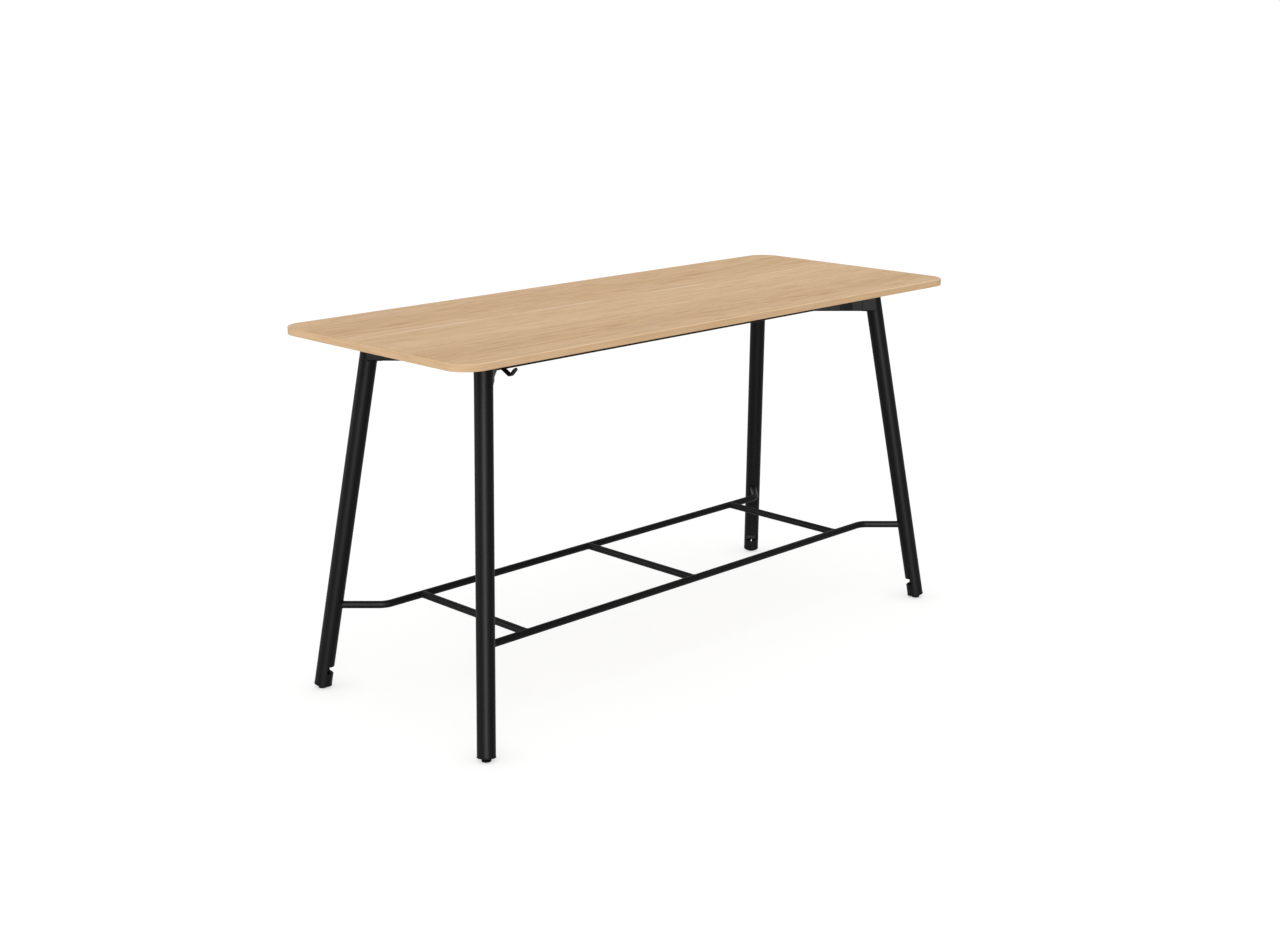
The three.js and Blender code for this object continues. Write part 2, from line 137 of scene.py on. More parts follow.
def linear(code: str) -> Colour:
    """Turn a colour as the eye sees it into a shader's linear colour.

    Args:
        code: An sRGB colour such as "#CCAD89".

    Returns:
        Linear red, green, blue and a full alpha.
    """
    def channel(start: int) -> float:
        """Linear value of the two hex digits at a place in the code."""
        value = int(code[start:start + 2], 16) / 255
        return value / 12.92 if value <= 0.04045 else ((value + 0.055) / 1.055) ** 2.4

    return channel(1), channel(3), channel(5), 1.0


def add_node(
    tree: bpy.types.NodeTree,
    kind: str,
    inputs: dict[str, Any] | None = None,
    out: int = 0,
    **settings: Any,
) -> bpy.types.NodeSocket | None:
    """Add a node to a shader or geometry tree, set it and link it.

    Args:
        tree: The tree that gets the node.
        kind: The node's type.
        inputs: Constants, sockets or lists of sockets, by input identifier.
        out: Index of the output to return.
        settings: Attributes of the node.

    Returns:
        The chosen output, or None for a node without outputs.
    """
    node = tree.nodes.new(kind)
    for name, value in settings.items():
        setattr(node, name, value)
    sockets = {socket.identifier: socket for socket in node.inputs}
    for name, value in (inputs or {}).items():
        for entry in value if isinstance(value, list) else [value]:
            if isinstance(entry, bpy.types.NodeSocket):
                tree.links.new(entry, sockets[name])
            else:
                sockets[name].default_value = entry
    return node.outputs[out] if len(node.outputs) else None


def blank_material(name: str) -> bpy.types.Material:
    """Make a material with an empty node tree.

    Args:
        name: The material's name.

    Returns:
        The new material.
    """
    material = bpy.data.materials.new(name)
    material.use_nodes = True
    material.node_tree.nodes.clear()
    return material


def stretched(
    tree: bpy.types.NodeTree, where: bpy.types.NodeSocket, size: tuple[float, float, float]
) -> bpy.types.NodeSocket:
    """Scale coordinates so that one unit is a feature of a real size.

    Args:
        tree: The material's tree.
        where: Coordinates in metres.
        size: The feature's length, width and depth in metres.

    Returns:
        The scaled coordinates.
    """
    scale = tuple(1 / value for value in size)
    return add_node(
        tree, "ShaderNodeVectorMath", {"Vector": where, "Vector_001": scale}, operation="MULTIPLY"
    )


def noise(
    tree: bpy.types.NodeTree,
    where: bpy.types.NodeSocket,
    size: tuple[float, float, float],
    low: float = 0.0,
    high: float = 1.0,
    detail: float = 2.0,
) -> bpy.types.NodeSocket:
    """Noise of a real feature size, with its contrast set by two levels.

    Args:
        tree: The material's tree.
        where: Coordinates in metres.
        size: The feature's length, width and depth in metres.
        low: Noise level that becomes 0.
        high: Noise level that becomes 1.
        detail: Octaves of finer noise.

    Returns:
        A value from 0 to 1.
    """
    raw = add_node(
        tree,
        "ShaderNodeTexNoise",
        {"Vector": stretched(tree, where, size), "Scale": 1.0, "Detail": detail},
    )
    return add_node(
        tree, "ShaderNodeMapRange", {"Value": raw, "From Min": low, "From Max": high}, clamp=True
    )


def blended(
    tree: bpy.types.NodeTree,
    base: bpy.types.NodeSocket | Colour,
    over: bpy.types.NodeSocket | Colour,
    amount: bpy.types.NodeSocket | float,
    strength: float = 1.0,
) -> bpy.types.NodeSocket:
    """Lay one colour over another.

    Args:
        tree: The material's tree.
        base: The colour underneath.
        over: The colour on top.
        amount: Where the top colour shows, from 0 to 1.
        strength: How much of it shows there.

    Returns:
        The mixed colour.
    """
    factor = add_node(
        tree, "ShaderNodeMath", {"Value": amount, "Value_001": strength}, operation="MULTIPLY"
    )
    return add_node(
        tree,
        "ShaderNodeMix",
        {"Factor_Float": factor, "A_Color": base, "B_Color": over},
        out=2,
        data_type="RGBA",
    )


def surfaced(
    material: bpy.types.Material,
    colour: bpy.types.NodeSocket,
    roughness: bpy.types.NodeSocket,
    height: bpy.types.NodeSocket,
    relief: float,
    **settings: float,
) -> bpy.types.Material:
    """End a material's tree in a Principled surface with a relief.

    Args:
        material: The material to end.
        colour: Base colour.
        roughness: Roughness.
        height: Relief from 0 to 1.
        relief: Depth of the relief in metres.
        settings: Further Principled inputs, with underscores for spaces.

    Returns:
        The same material.
    """
    tree = material.node_tree
    bump = add_node(
        tree, "ShaderNodeBump", {"Height": height, "Distance": relief, "Strength": 1.0}
    )
    inputs = {name.replace("_", " "): value for name, value in settings.items()}
    inputs |= {"Base Color": colour, "Roughness": roughness, "Normal": bump}
    shader = add_node(tree, "ShaderNodeBsdfPrincipled", inputs)
    add_node(tree, "ShaderNodeOutputMaterial", {"Surface": shader})
    return material


@dataclass(frozen=True)
class RingBand:
    """A band of close growth rings along a leaf of veneer, darkest at its place."""

    place: float
    inner: float
    outer: float


@dataclass(frozen=True)
class OakVeneer:
    """Pale straight-grained oak under a dull clear lacquer."""

    name: str
    grain: Grain
    pale: str = "#DEBE9A"
    middle: str = "#D7B690"
    band: str = "#C49F75"
    streak: str = "#B8936A"
    fleck: str = "#97734C"
    # Pale colour of the real light streaks and leaf joint, also used for the painted highlight on the lipping's
    # arris.
    light_line: str = "#ECD7BE"
    bands: tuple[RingBand, ...] = ()
    line_place: float = 0.0804
    line_shadow: float = 0.0930
    line_width: float = 0.0090
    # Where the painted highlight on the lipping's arris lies: from this height up, and on the long edges only.
    arris_level: float = 1.0602
    arris_fade: float = 0.0008
    arris_end: float = 0.995
    arris_full: float = 0.930
    leaf_length: float = 0.4685
    leaf_place: float = 0.2415
    vigour: float = 1.0
    fleck_depth: float = 0.38

    def material(self) -> bpy.types.Material:
        """Make the veneer, seen as soft bands with long fine streaks and a few dark flecks."""
        material = blank_material(self.name)
        tree = material.node_tree
        still = add_node(tree, "ShaderNodeTexCoord", out=self.grain.value)
        drift = add_node(
            tree,
            "ShaderNodeTexNoise",
            {"Vector": stretched(tree, still, (0.65, 0.22, 0.22)), "Scale": 1.0, "Detail": 1.0},
            out=1,
        )
        # Growth rings wander by a centimetre or two along the board.
        where = add_node(
            tree,
            "ShaderNodeVectorMath",
            {"Vector": drift, "Vector_001": (0.0, 0.05, 0.0), "Vector_002": still},
            operation="MULTIPLY_ADD",
        )
        clouds = noise(tree, where, (1.4, 0.055, 0.055), 0.36, 0.64)
        colour = blended(tree, linear(self.middle), linear(self.pale), clouds)
        dark = self._dark_bands(tree, still)
        colour = blended(tree, colour, linear(self.band), dark, 0.35)
        long_streaks = noise(tree, where, (0.14, 0.0095, 0.0095), 0.46, 0.72, detail=4.0)
        spread = add_node(
            tree, "ShaderNodeMapRange", {"Value": dark, "To Min": 0.55, "To Max": 1.0}
        )
        deep = self._product(tree, long_streaks, spread)
        colour = blended(tree, colour, linear(self.streak), deep, 0.82 * self.vigour)
        # Pores are a fifth of a millimetre wide, drawn six times as wide to show at all.
        pores = noise(tree, where, (0.07, 0.0013, 0.0013), 0.52, 0.74, detail=1.0)
        colour = blended(tree, colour, linear(self.streak), pores, 0.50 * self.vigour)
        # Darker and paler streaks come in groups, most of them in the dark bands.
        figure = self._figure(tree, still)
        groups = noise(tree, where, (0.3, 0.05, 0.05), 0.42, 0.56)
        share = add_node(
            tree, "ShaderNodeMapRange", {"Value": dark, "To Min": 0.25, "To Max": 1.0}
        )
        for size, tone, strength in (
            ((0.085, 0.0085, 0.0085), self.fleck, 0.62),
            ((0.085, 0.0085, 0.0085), self.light_line, 0.60),
        ):
            lines = noise(tree, where, size, 0.50, 0.72)
            for factor in (groups, share, figure):
                lines = self._product(tree, lines, factor)
            colour = blended(tree, colour, linear(tone), lines, strength * self.vigour)
        flecks = noise(tree, where, (0.036, 0.0046, 0.0046), 0.72, 0.80, detail=0.0)
        colour = blended(tree, colour, linear(self.fleck), flecks, self.fleck_depth * self.vigour)
        if self.grain is Grain.ALONG_THE_BOARD:
            shadow = self._product(tree, self._joint(tree, still, self.line_shadow), figure)
            colour = blended(tree, colour, linear(self.streak), shadow, 0.25 * self.vigour)
            joint = self._joint(tree, still, self.line_place)
            light, strength = self._product(tree, joint, figure), 0.45 * self.vigour
        else:
            # The lipping's top arris gets a painted highlight in the pale colour.
            light, strength = self._arris(tree, still), 0.55
        colour = blended(tree, colour, linear(self.light_line), light, strength)
        rough = add_node(
            tree,
            "ShaderNodeMapRange",
            {"Value": long_streaks, "To Min": 0.62, "To Max": 0.72},
        )
        return surfaced(
            material, colour, rough, pores, 0.00006, IOR=1.5, Specular_IOR_Level=0.06
        )

    def _dark_bands(
        self, tree: bpy.types.NodeTree, where: bpy.types.NodeSocket
    ) -> bpy.types.NodeSocket | float:
        """Find the dark bands, which fade slowly to one side and fast to the other.

        Args:
            tree: The material's tree.
            where: Coordinates in metres.

        Returns:
            1 where a band is darkest and 0 away from all of them.
        """
        depth = add_node(tree, "ShaderNodeSeparateXYZ", {"Vector": where}, out=1)
        total: bpy.types.NodeSocket | float = 0.0
        for band in self.bands:
            out = math.copysign(1.0, band.place)
            rise = self._faded(tree, depth, band.place - out * band.inner, band.place)
            fall = self._faded(tree, depth, band.place + out * band.outer, band.place)
            total = add_node(
                tree,
                "ShaderNodeMath",
                {"Value": rise, "Value_001": fall, "Value_002": total},
                operation="MULTIPLY_ADD",
            )
        return total

    def _figure(
        self, tree: bpy.types.NodeTree, where: bpy.types.NodeSocket
    ) -> bpy.types.NodeSocket:
        """Find the stretch of each leaf's length where its streaks stand out.

        Args:
            tree: The material's tree.
            where: Coordinates in metres.

        Returns:
            1 in the middle of the stretch and a small share between stretches.
        """
        along = add_node(tree, "ShaderNodeSeparateXYZ", {"Vector": where}, out=0)
        rate = math.tau / self.leaf_length
        turn = add_node(
            tree,
            "ShaderNodeMath",
            {"Value": along, "Value_001": rate, "Value_002": -self.leaf_place * rate},
            operation="MULTIPLY_ADD",
        )
        wave = add_node(tree, "ShaderNodeMath", {"Value": turn}, operation="COSINE")
        return add_node(
            tree,
            "ShaderNodeMapRange",
            {"Value": wave, "From Min": -0.6, "From Max": 0.4, "To Min": 0.2},
            interpolation_type="SMOOTHSTEP",
        )

    @staticmethod
    def _product(
        tree: bpy.types.NodeTree, first: bpy.types.NodeSocket, second: bpy.types.NodeSocket
    ) -> bpy.types.NodeSocket:
        """Multiply two values."""
        return add_node(
            tree, "ShaderNodeMath", {"Value": first, "Value_001": second}, operation="MULTIPLY"
        )

    @staticmethod
    def _faded(
        tree: bpy.types.NodeTree, value: bpy.types.NodeSocket, clear: float, full: float
    ) -> bpy.types.NodeSocket:
        """Fade smoothly from 0 where a value is clear to 1 where it is full."""
        return add_node(
            tree,
            "ShaderNodeMapRange",
            {"Value": value, "From Min": clear, "From Max": full},
            interpolation_type="SMOOTHSTEP",
        )

    def _arris(
        self, tree: bpy.types.NodeTree, where: bpy.types.NodeSocket
    ) -> bpy.types.NodeSocket:
        """Find the painted highlight along the top arris of the long edges, fading out towards the ends."""
        level = add_node(tree, "ShaderNodeSeparateXYZ", {"Vector": where}, out=1)
        top = self._faded(tree, level, self.arris_level, self.arris_level + self.arris_fade)
        place = add_node(tree, "ShaderNodeTexCoord", out=Grain.ALONG_THE_BOARD.value)
        along = add_node(tree, "ShaderNodeSeparateXYZ", {"Vector": place}, out=0)
        apart = add_node(tree, "ShaderNodeMath", {"Value": along}, operation="ABSOLUTE")
        return self._product(tree, top, self._faded(tree, apart, self.arris_end, self.arris_full))

    def _joint(
        self, tree: bpy.types.NodeTree, where: bpy.types.NodeSocket, place: float
    ) -> bpy.types.NodeSocket:
        """Find a line along the board, such as the paler one where two leaves of veneer meet.

        Args:
            tree: The material's tree.
            where: Coordinates in metres.
            place: Y of the line.

        Returns:
            1 on the line and 0 beside it.
        """
        depth = add_node(tree, "ShaderNodeSeparateXYZ", {"Vector": where}, out=1)
        off = add_node(
            tree,
            "ShaderNodeMath",
            {"Value": depth, "Value_001": place},
            operation="SUBTRACT",
        )
        apart = add_node(tree, "ShaderNodeMath", {"Value": off}, operation="ABSOLUTE")
        return self._faded(tree, apart, self.line_width, self.line_width / 2)


@dataclass(frozen=True)
class MatBlack:
    """A black surface with a fine relief: powder coat or moulded plastic."""

    name: str
    deep: str
    worn: str
    dull: float
    satin: float
    grain: float
    relief: float
    reflection: float

    def material(self) -> bpy.types.Material:
        """Make the surface, seen as an even black with a soft broken sheen."""
        material = blank_material(self.name)
        tree = material.node_tree
        where = add_node(tree, "ShaderNodeTexCoord", out=3)
        clouds = noise(tree, where, (0.16, 0.16, 0.16), 0.35, 0.65)
        colour = blended(tree, linear(self.deep), linear(self.worn), clouds)
        peel = noise(tree, where, (self.grain, self.grain, self.grain), 0.25, 0.75)
        rough = add_node(
            tree,
            "ShaderNodeMapRange",
            {"Value": peel, "To Min": self.satin, "To Max": self.dull},
        )
        return surfaced(
            material,
            colour,
            rough,
            peel,
            self.relief,
            IOR=1.5,
            Specular_IOR_Level=self.reflection,
        )


@dataclass(frozen=True)
class ZincPlate:
    """Bright zinc plate on turned steel."""

    name: str = "zinc_plated_turned_steel"
    bright: str = "#B4B6B9"
    dull: str = "#97999D"

    def material(self) -> bpy.types.Material:
        """Make the plate, seen as a cool grey metal with a patchy shine."""
        material = blank_material(self.name)
        tree = material.node_tree
        where = add_node(tree, "ShaderNodeTexCoord", out=3)
        patches = noise(tree, where, (0.004, 0.004, 0.004), 0.35, 0.65)
        colour = blended(tree, linear(self.dull), linear(self.bright), patches)
        # Turning marks are a tenth of a millimetre apart, drawn at half a millimetre.
        marks = noise(tree, where, (0.01, 0.01, 0.0005), 0.3, 0.7)
        rough = add_node(
            tree, "ShaderNodeMapRange", {"Value": patches, "To Min": 0.4, "To Max": 0.26}
        )
        return surfaced(material, colour, rough, marks, 0.000005, Metallic=1.0)


def circle(radius: float, sides: int) -> list[Point2]:
    """Points of a circle.

    Args:
        radius: Its radius.
        sides: How many points.

    Returns:
        The points, anticlockwise.
    """
    turns = [math.tau * step / sides for step in range(sides)]
    return [(radius * math.cos(turn), radius * math.sin(turn)) for turn in turns]


def rounded_box(width: float, height: float, radius: float, steps: int = 5) -> list[Point2]:
    """Points of a rectangle with rounded corners, about its middle.

    Args:
        width: Whole width.
        height: Whole height.
        radius: Corner radius.
        steps: Steps in each corner.

    Returns:
        The points, anticlockwise from the lower right corner.
    """
    points: list[Point2] = []
    for quarter, (side, level) in enumerate([(1, -1), (1, 1), (-1, 1), (-1, -1)]):
        middle = (side * (width / 2 - radius), level * (height / 2 - radius))
        for step in range(steps + 1):
            turn = math.pi / 2 * (quarter - 1 + step / steps)
            points.append(
                (middle[0] + radius * math.cos(turn), middle[1] + radius * math.sin(turn))
            )
    return points


def placed(section: Sequence[Point2], origin: Vector, across: Vector, up: Vector) -> Ring:
    """Set a flat section up in space.

    Args:
        section: Points of the section.
        origin: Where its middle goes.
        across: Direction of its first axis.
        up: Direction of its second axis.

    Returns:
        The section's points in space.
    """
    return [origin + across * a + up * b for a, b in section]


def loft(
    name: str, rings: Sequence[Ring], ends: Ends = Ends.CAPPED, weld: bool = True
) -> bpy.types.Object:
    """Skin a row of rings that have as many points each.

    Args:
        name: The object's name.
        rings: The rings in order.
        ends: Whether the end rings are capped or joined to each other.
        weld: Whether points that fall together become one.

    Returns:
        The new object, with its faces outwards.
    """
    count = len(rings[0])
    points = [point for ring in rings for point in ring]
    faces: list[tuple[int, ...]] = []
    for span in range(len(rings) - (ends is Ends.CAPPED)):
        first = span * count
        second = (span + 1) % len(rings) * count
        for i in range(count):
            j = (i + 1) % count
            faces.append((first + i, first + j, second + j, second + i))
    if ends is Ends.CAPPED:
        faces.append(tuple(reversed(range(count))))
        faces.append(tuple(range(len(points) - count, len(points))))
    mesh = bpy.data.meshes.new(name)
    mesh.from_pydata(points, [], faces)
    shape = bmesh.new()
    shape.from_mesh(mesh)
    if weld:
        bmesh.ops.remove_doubles(shape, verts=shape.verts, dist=1e-7)
    bmesh.ops.recalc_face_normals(shape, faces=shape.faces)
    shape.to_mesh(mesh)
    shape.free()
    return shown(name, mesh)


def shown(name: str, mesh: bpy.types.Mesh) -> bpy.types.Object:
    """Put a mesh into the scene.

    Args:
        name: The object's name.
        mesh: Its mesh.

    Returns:
        The new object.
    """
    obj = bpy.data.objects.new(name, mesh)
    bpy.context.scene.collection.objects.link(obj)
    return obj


def turned(name: str, profile: Sequence[Point2], sides: int, ends: Ends) -> bpy.types.Object:
    """Turn a profile about the Z axis.

    Args:
        name: The object's name.
        profile: Radius and height of each point.
        sides: Points round the axis.
        ends: Whether the profile ends on the axis or closes on itself.

    Returns:
        The new object.
    """
    rings = [
        [Vector((x, y, height)) for x, y in circle(radius, sides)] for radius, height in profile
    ]
    return loft(name, rings, ends)


def arc(middle: Point2, radius: float, start: float, stop: float, steps: int) -> list[Point2]:
    """Points of an arc in a flat profile.

    Args:
        middle: Its centre.
        radius: Its radius.
        start: First angle in degrees.
        stop: Last angle in degrees.
        steps: How many steps between them.

    Returns:
        The points in order.
    """
    turns = [math.radians(start + (stop - start) * step / steps) for step in range(steps + 1)]
    return [
        (middle[0] + radius * math.cos(turn), middle[1] + radius * math.sin(turn))
        for turn in turns
    ]


@dataclass(frozen=True)
class Station:
    """A place on a bent run."""

    point: Vector
    tangent: Vector


def bent_run(corners: Sequence[Vector], bend: float, steps: int) -> list[Station]:
    """Walk along corner points with each inner corner rounded.

    Args:
        corners: The corner points.
        bend: Radius of the bends on the centre line.
        steps: Steps in each bend.

    Returns:
        Stations at the ends and through each bend.
    """
    headings = [(b - a).normalized() for a, b in zip(corners, corners[1:])]
    stations = [Station(corners[0], headings[0])]
    for corner, before, after in zip(corners[1:], headings, headings[1:]):
        turn = before.angle(after)
        axis = before.cross(after).normalized()
        inward = axis.cross(before)
        start = corner - before * bend * math.tan(turn / 2)
        centre = start + inward * bend
        for step in range(steps + 1):
            spin = Matrix.Rotation(turn * step / steps, 3, axis)
            stations.append(Station(centre + spin @ (inward * -bend), spin @ before))
    stations.append(Station(corners[-1], headings[-1]))
    return stations


def reach_cylinder(
    point: Vector, heading: Vector, foot: Vector, axis: Vector, radius: float
) -> Vector:
    """Follow a line to the near side of a round bar.

    Args:
        point: A point on the line, outside the bar.
        heading: Unit direction of the line, towards the bar.
        foot: A point on the bar's axis.
        axis: Unit direction of the axis.
        radius: The bar's radius.

    Returns:
        Where the line meets the bar, or comes nearest to it.
    """
    across = heading - axis * heading.dot(axis)
    start = (point - foot) - axis * (point - foot).dot(axis)
    a = across.dot(across)
    b = across.dot(start)
    under = b * b - a * (start.dot(start) - radius * radius)
    return point + heading * ((-b - math.sqrt(max(0.0, under))) / a)


def baked(obj: bpy.types.Object, kind: str, **settings: Any) -> bpy.types.Object:
    """Run one modifier on an object and keep its result as a plain mesh.

    Args:
        obj: The object.
        kind: The modifier's type.
        settings: Attributes of the modifier.

    Returns:
        The same object.
    """
    modifier = obj.modifiers.new(kind.lower(), kind)
    for name, value in settings.items():
        setattr(modifier, name, value)
    return flattened(obj)


def flattened(obj: bpy.types.Object) -> bpy.types.Object:
    """Turn an object with modifiers into a plain mesh.

    Args:
        obj: The object.

    Returns:
        The same object.
    """
    bpy.context.view_layer.update()
    graph = bpy.context.evaluated_depsgraph_get()
    mesh = bpy.data.meshes.new_from_object(obj.evaluated_get(graph))
    old = obj.data
    obj.modifiers.clear()
    obj.data = mesh
    bpy.data.meshes.remove(old)
    mesh.name = obj.name
    return obj


def carved(
    obj: bpy.types.Object, tool: bpy.types.Object, operation: str = "DIFFERENCE"
) -> bpy.types.Object:
    """Cut a tool out of an object, or join it on, and throw the tool away.

    Args:
        obj: The object.
        tool: The tool.
        operation: The Boolean modifier's operation.

    Returns:
        The same object.
    """
    baked(obj, "BOOLEAN", object=tool, operation=operation, solver="EXACT")
    mesh = tool.data
    bpy.data.objects.remove(tool)
    bpy.data.meshes.remove(mesh)
    return obj


def joined(name: str, parts: Sequence[bpy.types.Object]) -> bpy.types.Object:
    """Gather closed shells into one mesh.

    Args:
        name: The new object's name.
        parts: Objects that are used up.

    Returns:
        The new object.
    """
    shape = bmesh.new()
    for part in parts:
        shape.from_mesh(part.data)
    mesh = bpy.data.meshes.new(name)
    shape.to_mesh(mesh)
    shape.free()
    for part in parts:
        used = part.data
        bpy.data.objects.remove(part)
        bpy.data.meshes.remove(used)
    return shown(name, mesh)


def smoothed(obj: bpy.types.Object, crease: float = 32.0) -> bpy.types.Object:
    """Shade an object smooth, with edges over an angle left sharp and flats kept flat.

    Args:
        obj: The object.
        crease: The angle in degrees.

    Returns:
        The same object.
    """
    obj.data.shade_smooth()
    obj.data.set_sharp_from_angle(angle=math.radians(crease))
    return baked(obj, "WEIGHTED_NORMAL", keep_sharp=True)


@dataclass(frozen=True)
class Layout:
    """Places that the sub-assemblies share."""

    underside: float = 1.042
    frame_gap: float = 0.0003
    tube_width: float = 0.040
    tube_height: float = 0.079
    tube_wall: float = 0.002
    tube_corner: float = 0.003
    rail_y: float = 0.1015
    hub_x: float = 0.5665
    top_reach: float = 0.33305
    splay: float = math.radians(10.0)
    leg_radius: float = 0.025
    foot_level: float = 0.251

    @property
    def frame_top(self) -> float:
        """Height of the rails' top faces."""
        return self.underside - self.frame_gap

    @property
    def frame_bottom(self) -> float:
        """Height of the rails' under faces."""
        return self.frame_top - self.tube_height

    @property
    def rail_end(self) -> float:
        """X where a rail's middle line meets its arm's."""
        return self.hub_x + self.rail_y

    @property
    def mitre(self) -> float:
        """Slope of the cut between a rail and an arm."""
        return math.tan(math.pi / 8)

    def leg_reach(self, z: float) -> float:
        """Distance from the hub to a leg's axis, along its diagonal, at a height."""
        return self.top_reach + (self.underside - z) * math.tan(self.splay)

    def corner(self, corner: Corner) -> Matrix:
        """A corner's frame: +X out along the diagonal, from the hub."""
        side, depth = corner.value
        turn = Matrix.Rotation(math.atan2(depth, side), 4, "Z")
        return Matrix.Translation((side * self.hub_x, 0.0, 0.0)) @ turn

    def leg(self, corner: Corner) -> Matrix:
        """A leg's frame: +Z up its axis from the floor and -X towards the table's middle."""
        lean = Matrix.Rotation(-self.splay, 4, "Y")
        return self.corner(corner) @ Matrix.Translation((self.leg_reach(0.0), 0.0, 0.0)) @ lean


@dataclass(frozen=True)
class Piece:
    """A finished object with what it stands for."""

    obj: bpy.types.Object
    slot: Slot
    body: str
    nodes: tuple[str, ...]


@dataclass
class SubAssembly:
    """A group of pieces that are built and dressed together."""

    layout: Layout
    pieces: list[Piece] = field(default_factory=list, init=False)

    def keep(
        self, obj: bpy.types.Object, slot: Slot, *nodes: str, body: str = "table"
    ) -> bpy.types.Object:
        """Take a piece into the group.

        Args:
            obj: The piece.
            slot: Its material slot.
            nodes: CAD nodes that it stands in for.
            body: The body it rides on.

        Returns:
            The same object.
        """
        self.pieces.append(Piece(obj, slot, body, nodes))
        return obj

    def dress(self, palette: dict[Slot, list[bpy.types.Material]]) -> None:
        """Give each piece its finish, hang it on its body and hide the CAD nodes that it stands in for.

        Args:
            palette: Materials of each slot.
        """
        for piece in self.pieces:
            if not piece.obj.data.materials:
                for material in palette[piece.slot]:
                    piece.obj.data.materials.append(material)
            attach(piece.obj, piece.body)
            if piece.nodes:
                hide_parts(*piece.nodes)
            LOG.info("dressed %s", piece.obj.name)

    def box_tube(
        self,
        name: str,
        start: float,
        end: float,
        slopes: tuple[float, float] = (0.0, 0.0),
        height: float | None = None,
    ) -> bpy.types.Object:
        """A rectangular tube along X, under the board, with rounded edges.

        Args:
            name: The object's name.
            start: X of its first end, on the middle line.
            end: X of its second end.
            slopes: X over Y of the cuts at the two ends.
            height: Its height if not that of the rails.

        Returns:
            The new object.
        """
        lay = self.layout
        tall = height or lay.tube_height
        middle = lay.frame_top - tall / 2

        def ring(x: float, slope: float, inset: float) -> Ring:
            """One end of the tube's outside or inside."""
            section = rounded_box(
                lay.tube_width - 2 * inset, tall - 2 * inset, lay.tube_corner - inset
            )
            return [Vector((x + slope * y, y, middle + z)) for y, z in section]

        rings = [
            ring(start, slopes[0], 0.0),
            ring(end, slopes[1], 0.0),
            ring(end, slopes[1], lay.tube_wall),
            ring(start, slopes[0], lay.tube_wall),
        ]
        return smoothed(loft(name, rings, Ends.LOOPED))


@dataclass
class Board(SubAssembly):
    """The oak board, with a veneered face and a lipping round its edge."""

    length: float = 2.0
    width: float = 0.793
    thickness: float = 0.020
    corner_radius: float = 0.070
    arris: float = 0.002
    corner_steps: int = 24
    arris_steps: int = 4

    def build(self) -> None:
        """Loft the board from its underside to its top."""
        levels = [
            (self.arris * (1 - math.sin(turn)), self.arris * (1 - math.cos(turn)))
            for turn in self._arris_turns()
        ]
        levels += [(inset, self.thickness - rise) for inset, rise in reversed(levels)]
        rings = [self._outline(inset, self.layout.underside + rise) for inset, rise in levels]
        obj = loft("oak_board", rings, weld=False)
        self._lip(obj, rings)
        self.keep(smoothed(obj, 40.0), Slot.OAK, "table_top")

    def _arris_turns(self) -> list[float]:
        """Angles through the rounding of an arris."""
        return [math.pi / 2 * step / self.arris_steps for step in range(self.arris_steps + 1)]

    def _outline(self, inset: float, z: float) -> Ring:
        """The board's outline moved in by an inset, at a height."""
        section = rounded_box(
            self.length - 2 * inset,
            self.width - 2 * inset,
            self.corner_radius - inset,
            self.corner_steps,
        )
        return [Vector((x, y, z)) for x, y in section]

    def _lip(self, obj: bpy.types.Object, rings: Sequence[Ring]) -> None:
        """Give the edge and the underside their own materials, and unroll the edge.

        Args:
            obj: The board.
            rings: The rings it was lofted from.
        """
        mesh = obj.data
        count = len(rings[0])
        steps = [(rings[0][i] - rings[0][(i + 1) % count]).length for i in range(count)]
        run = [sum(steps[:i]) for i in range(count + 1)]
        layer = mesh.uv_layers.new(name="perimeter")
        for face in mesh.polygons:
            if len(face.vertices) == 4:
                face.material_index = 1
            elif face.normal.z < 0:
                face.material_index = 2
            places = [index % count for index in face.vertices]
            seam = max(places) - min(places) > 1
            for loop in face.loop_indices:
                vertex = mesh.loops[loop].vertex_index
                place = vertex % count
                along = run[count] if seam and place == 0 else run[place]
                layer.data[loop].uv = (along, mesh.vertices[vertex].co.z)


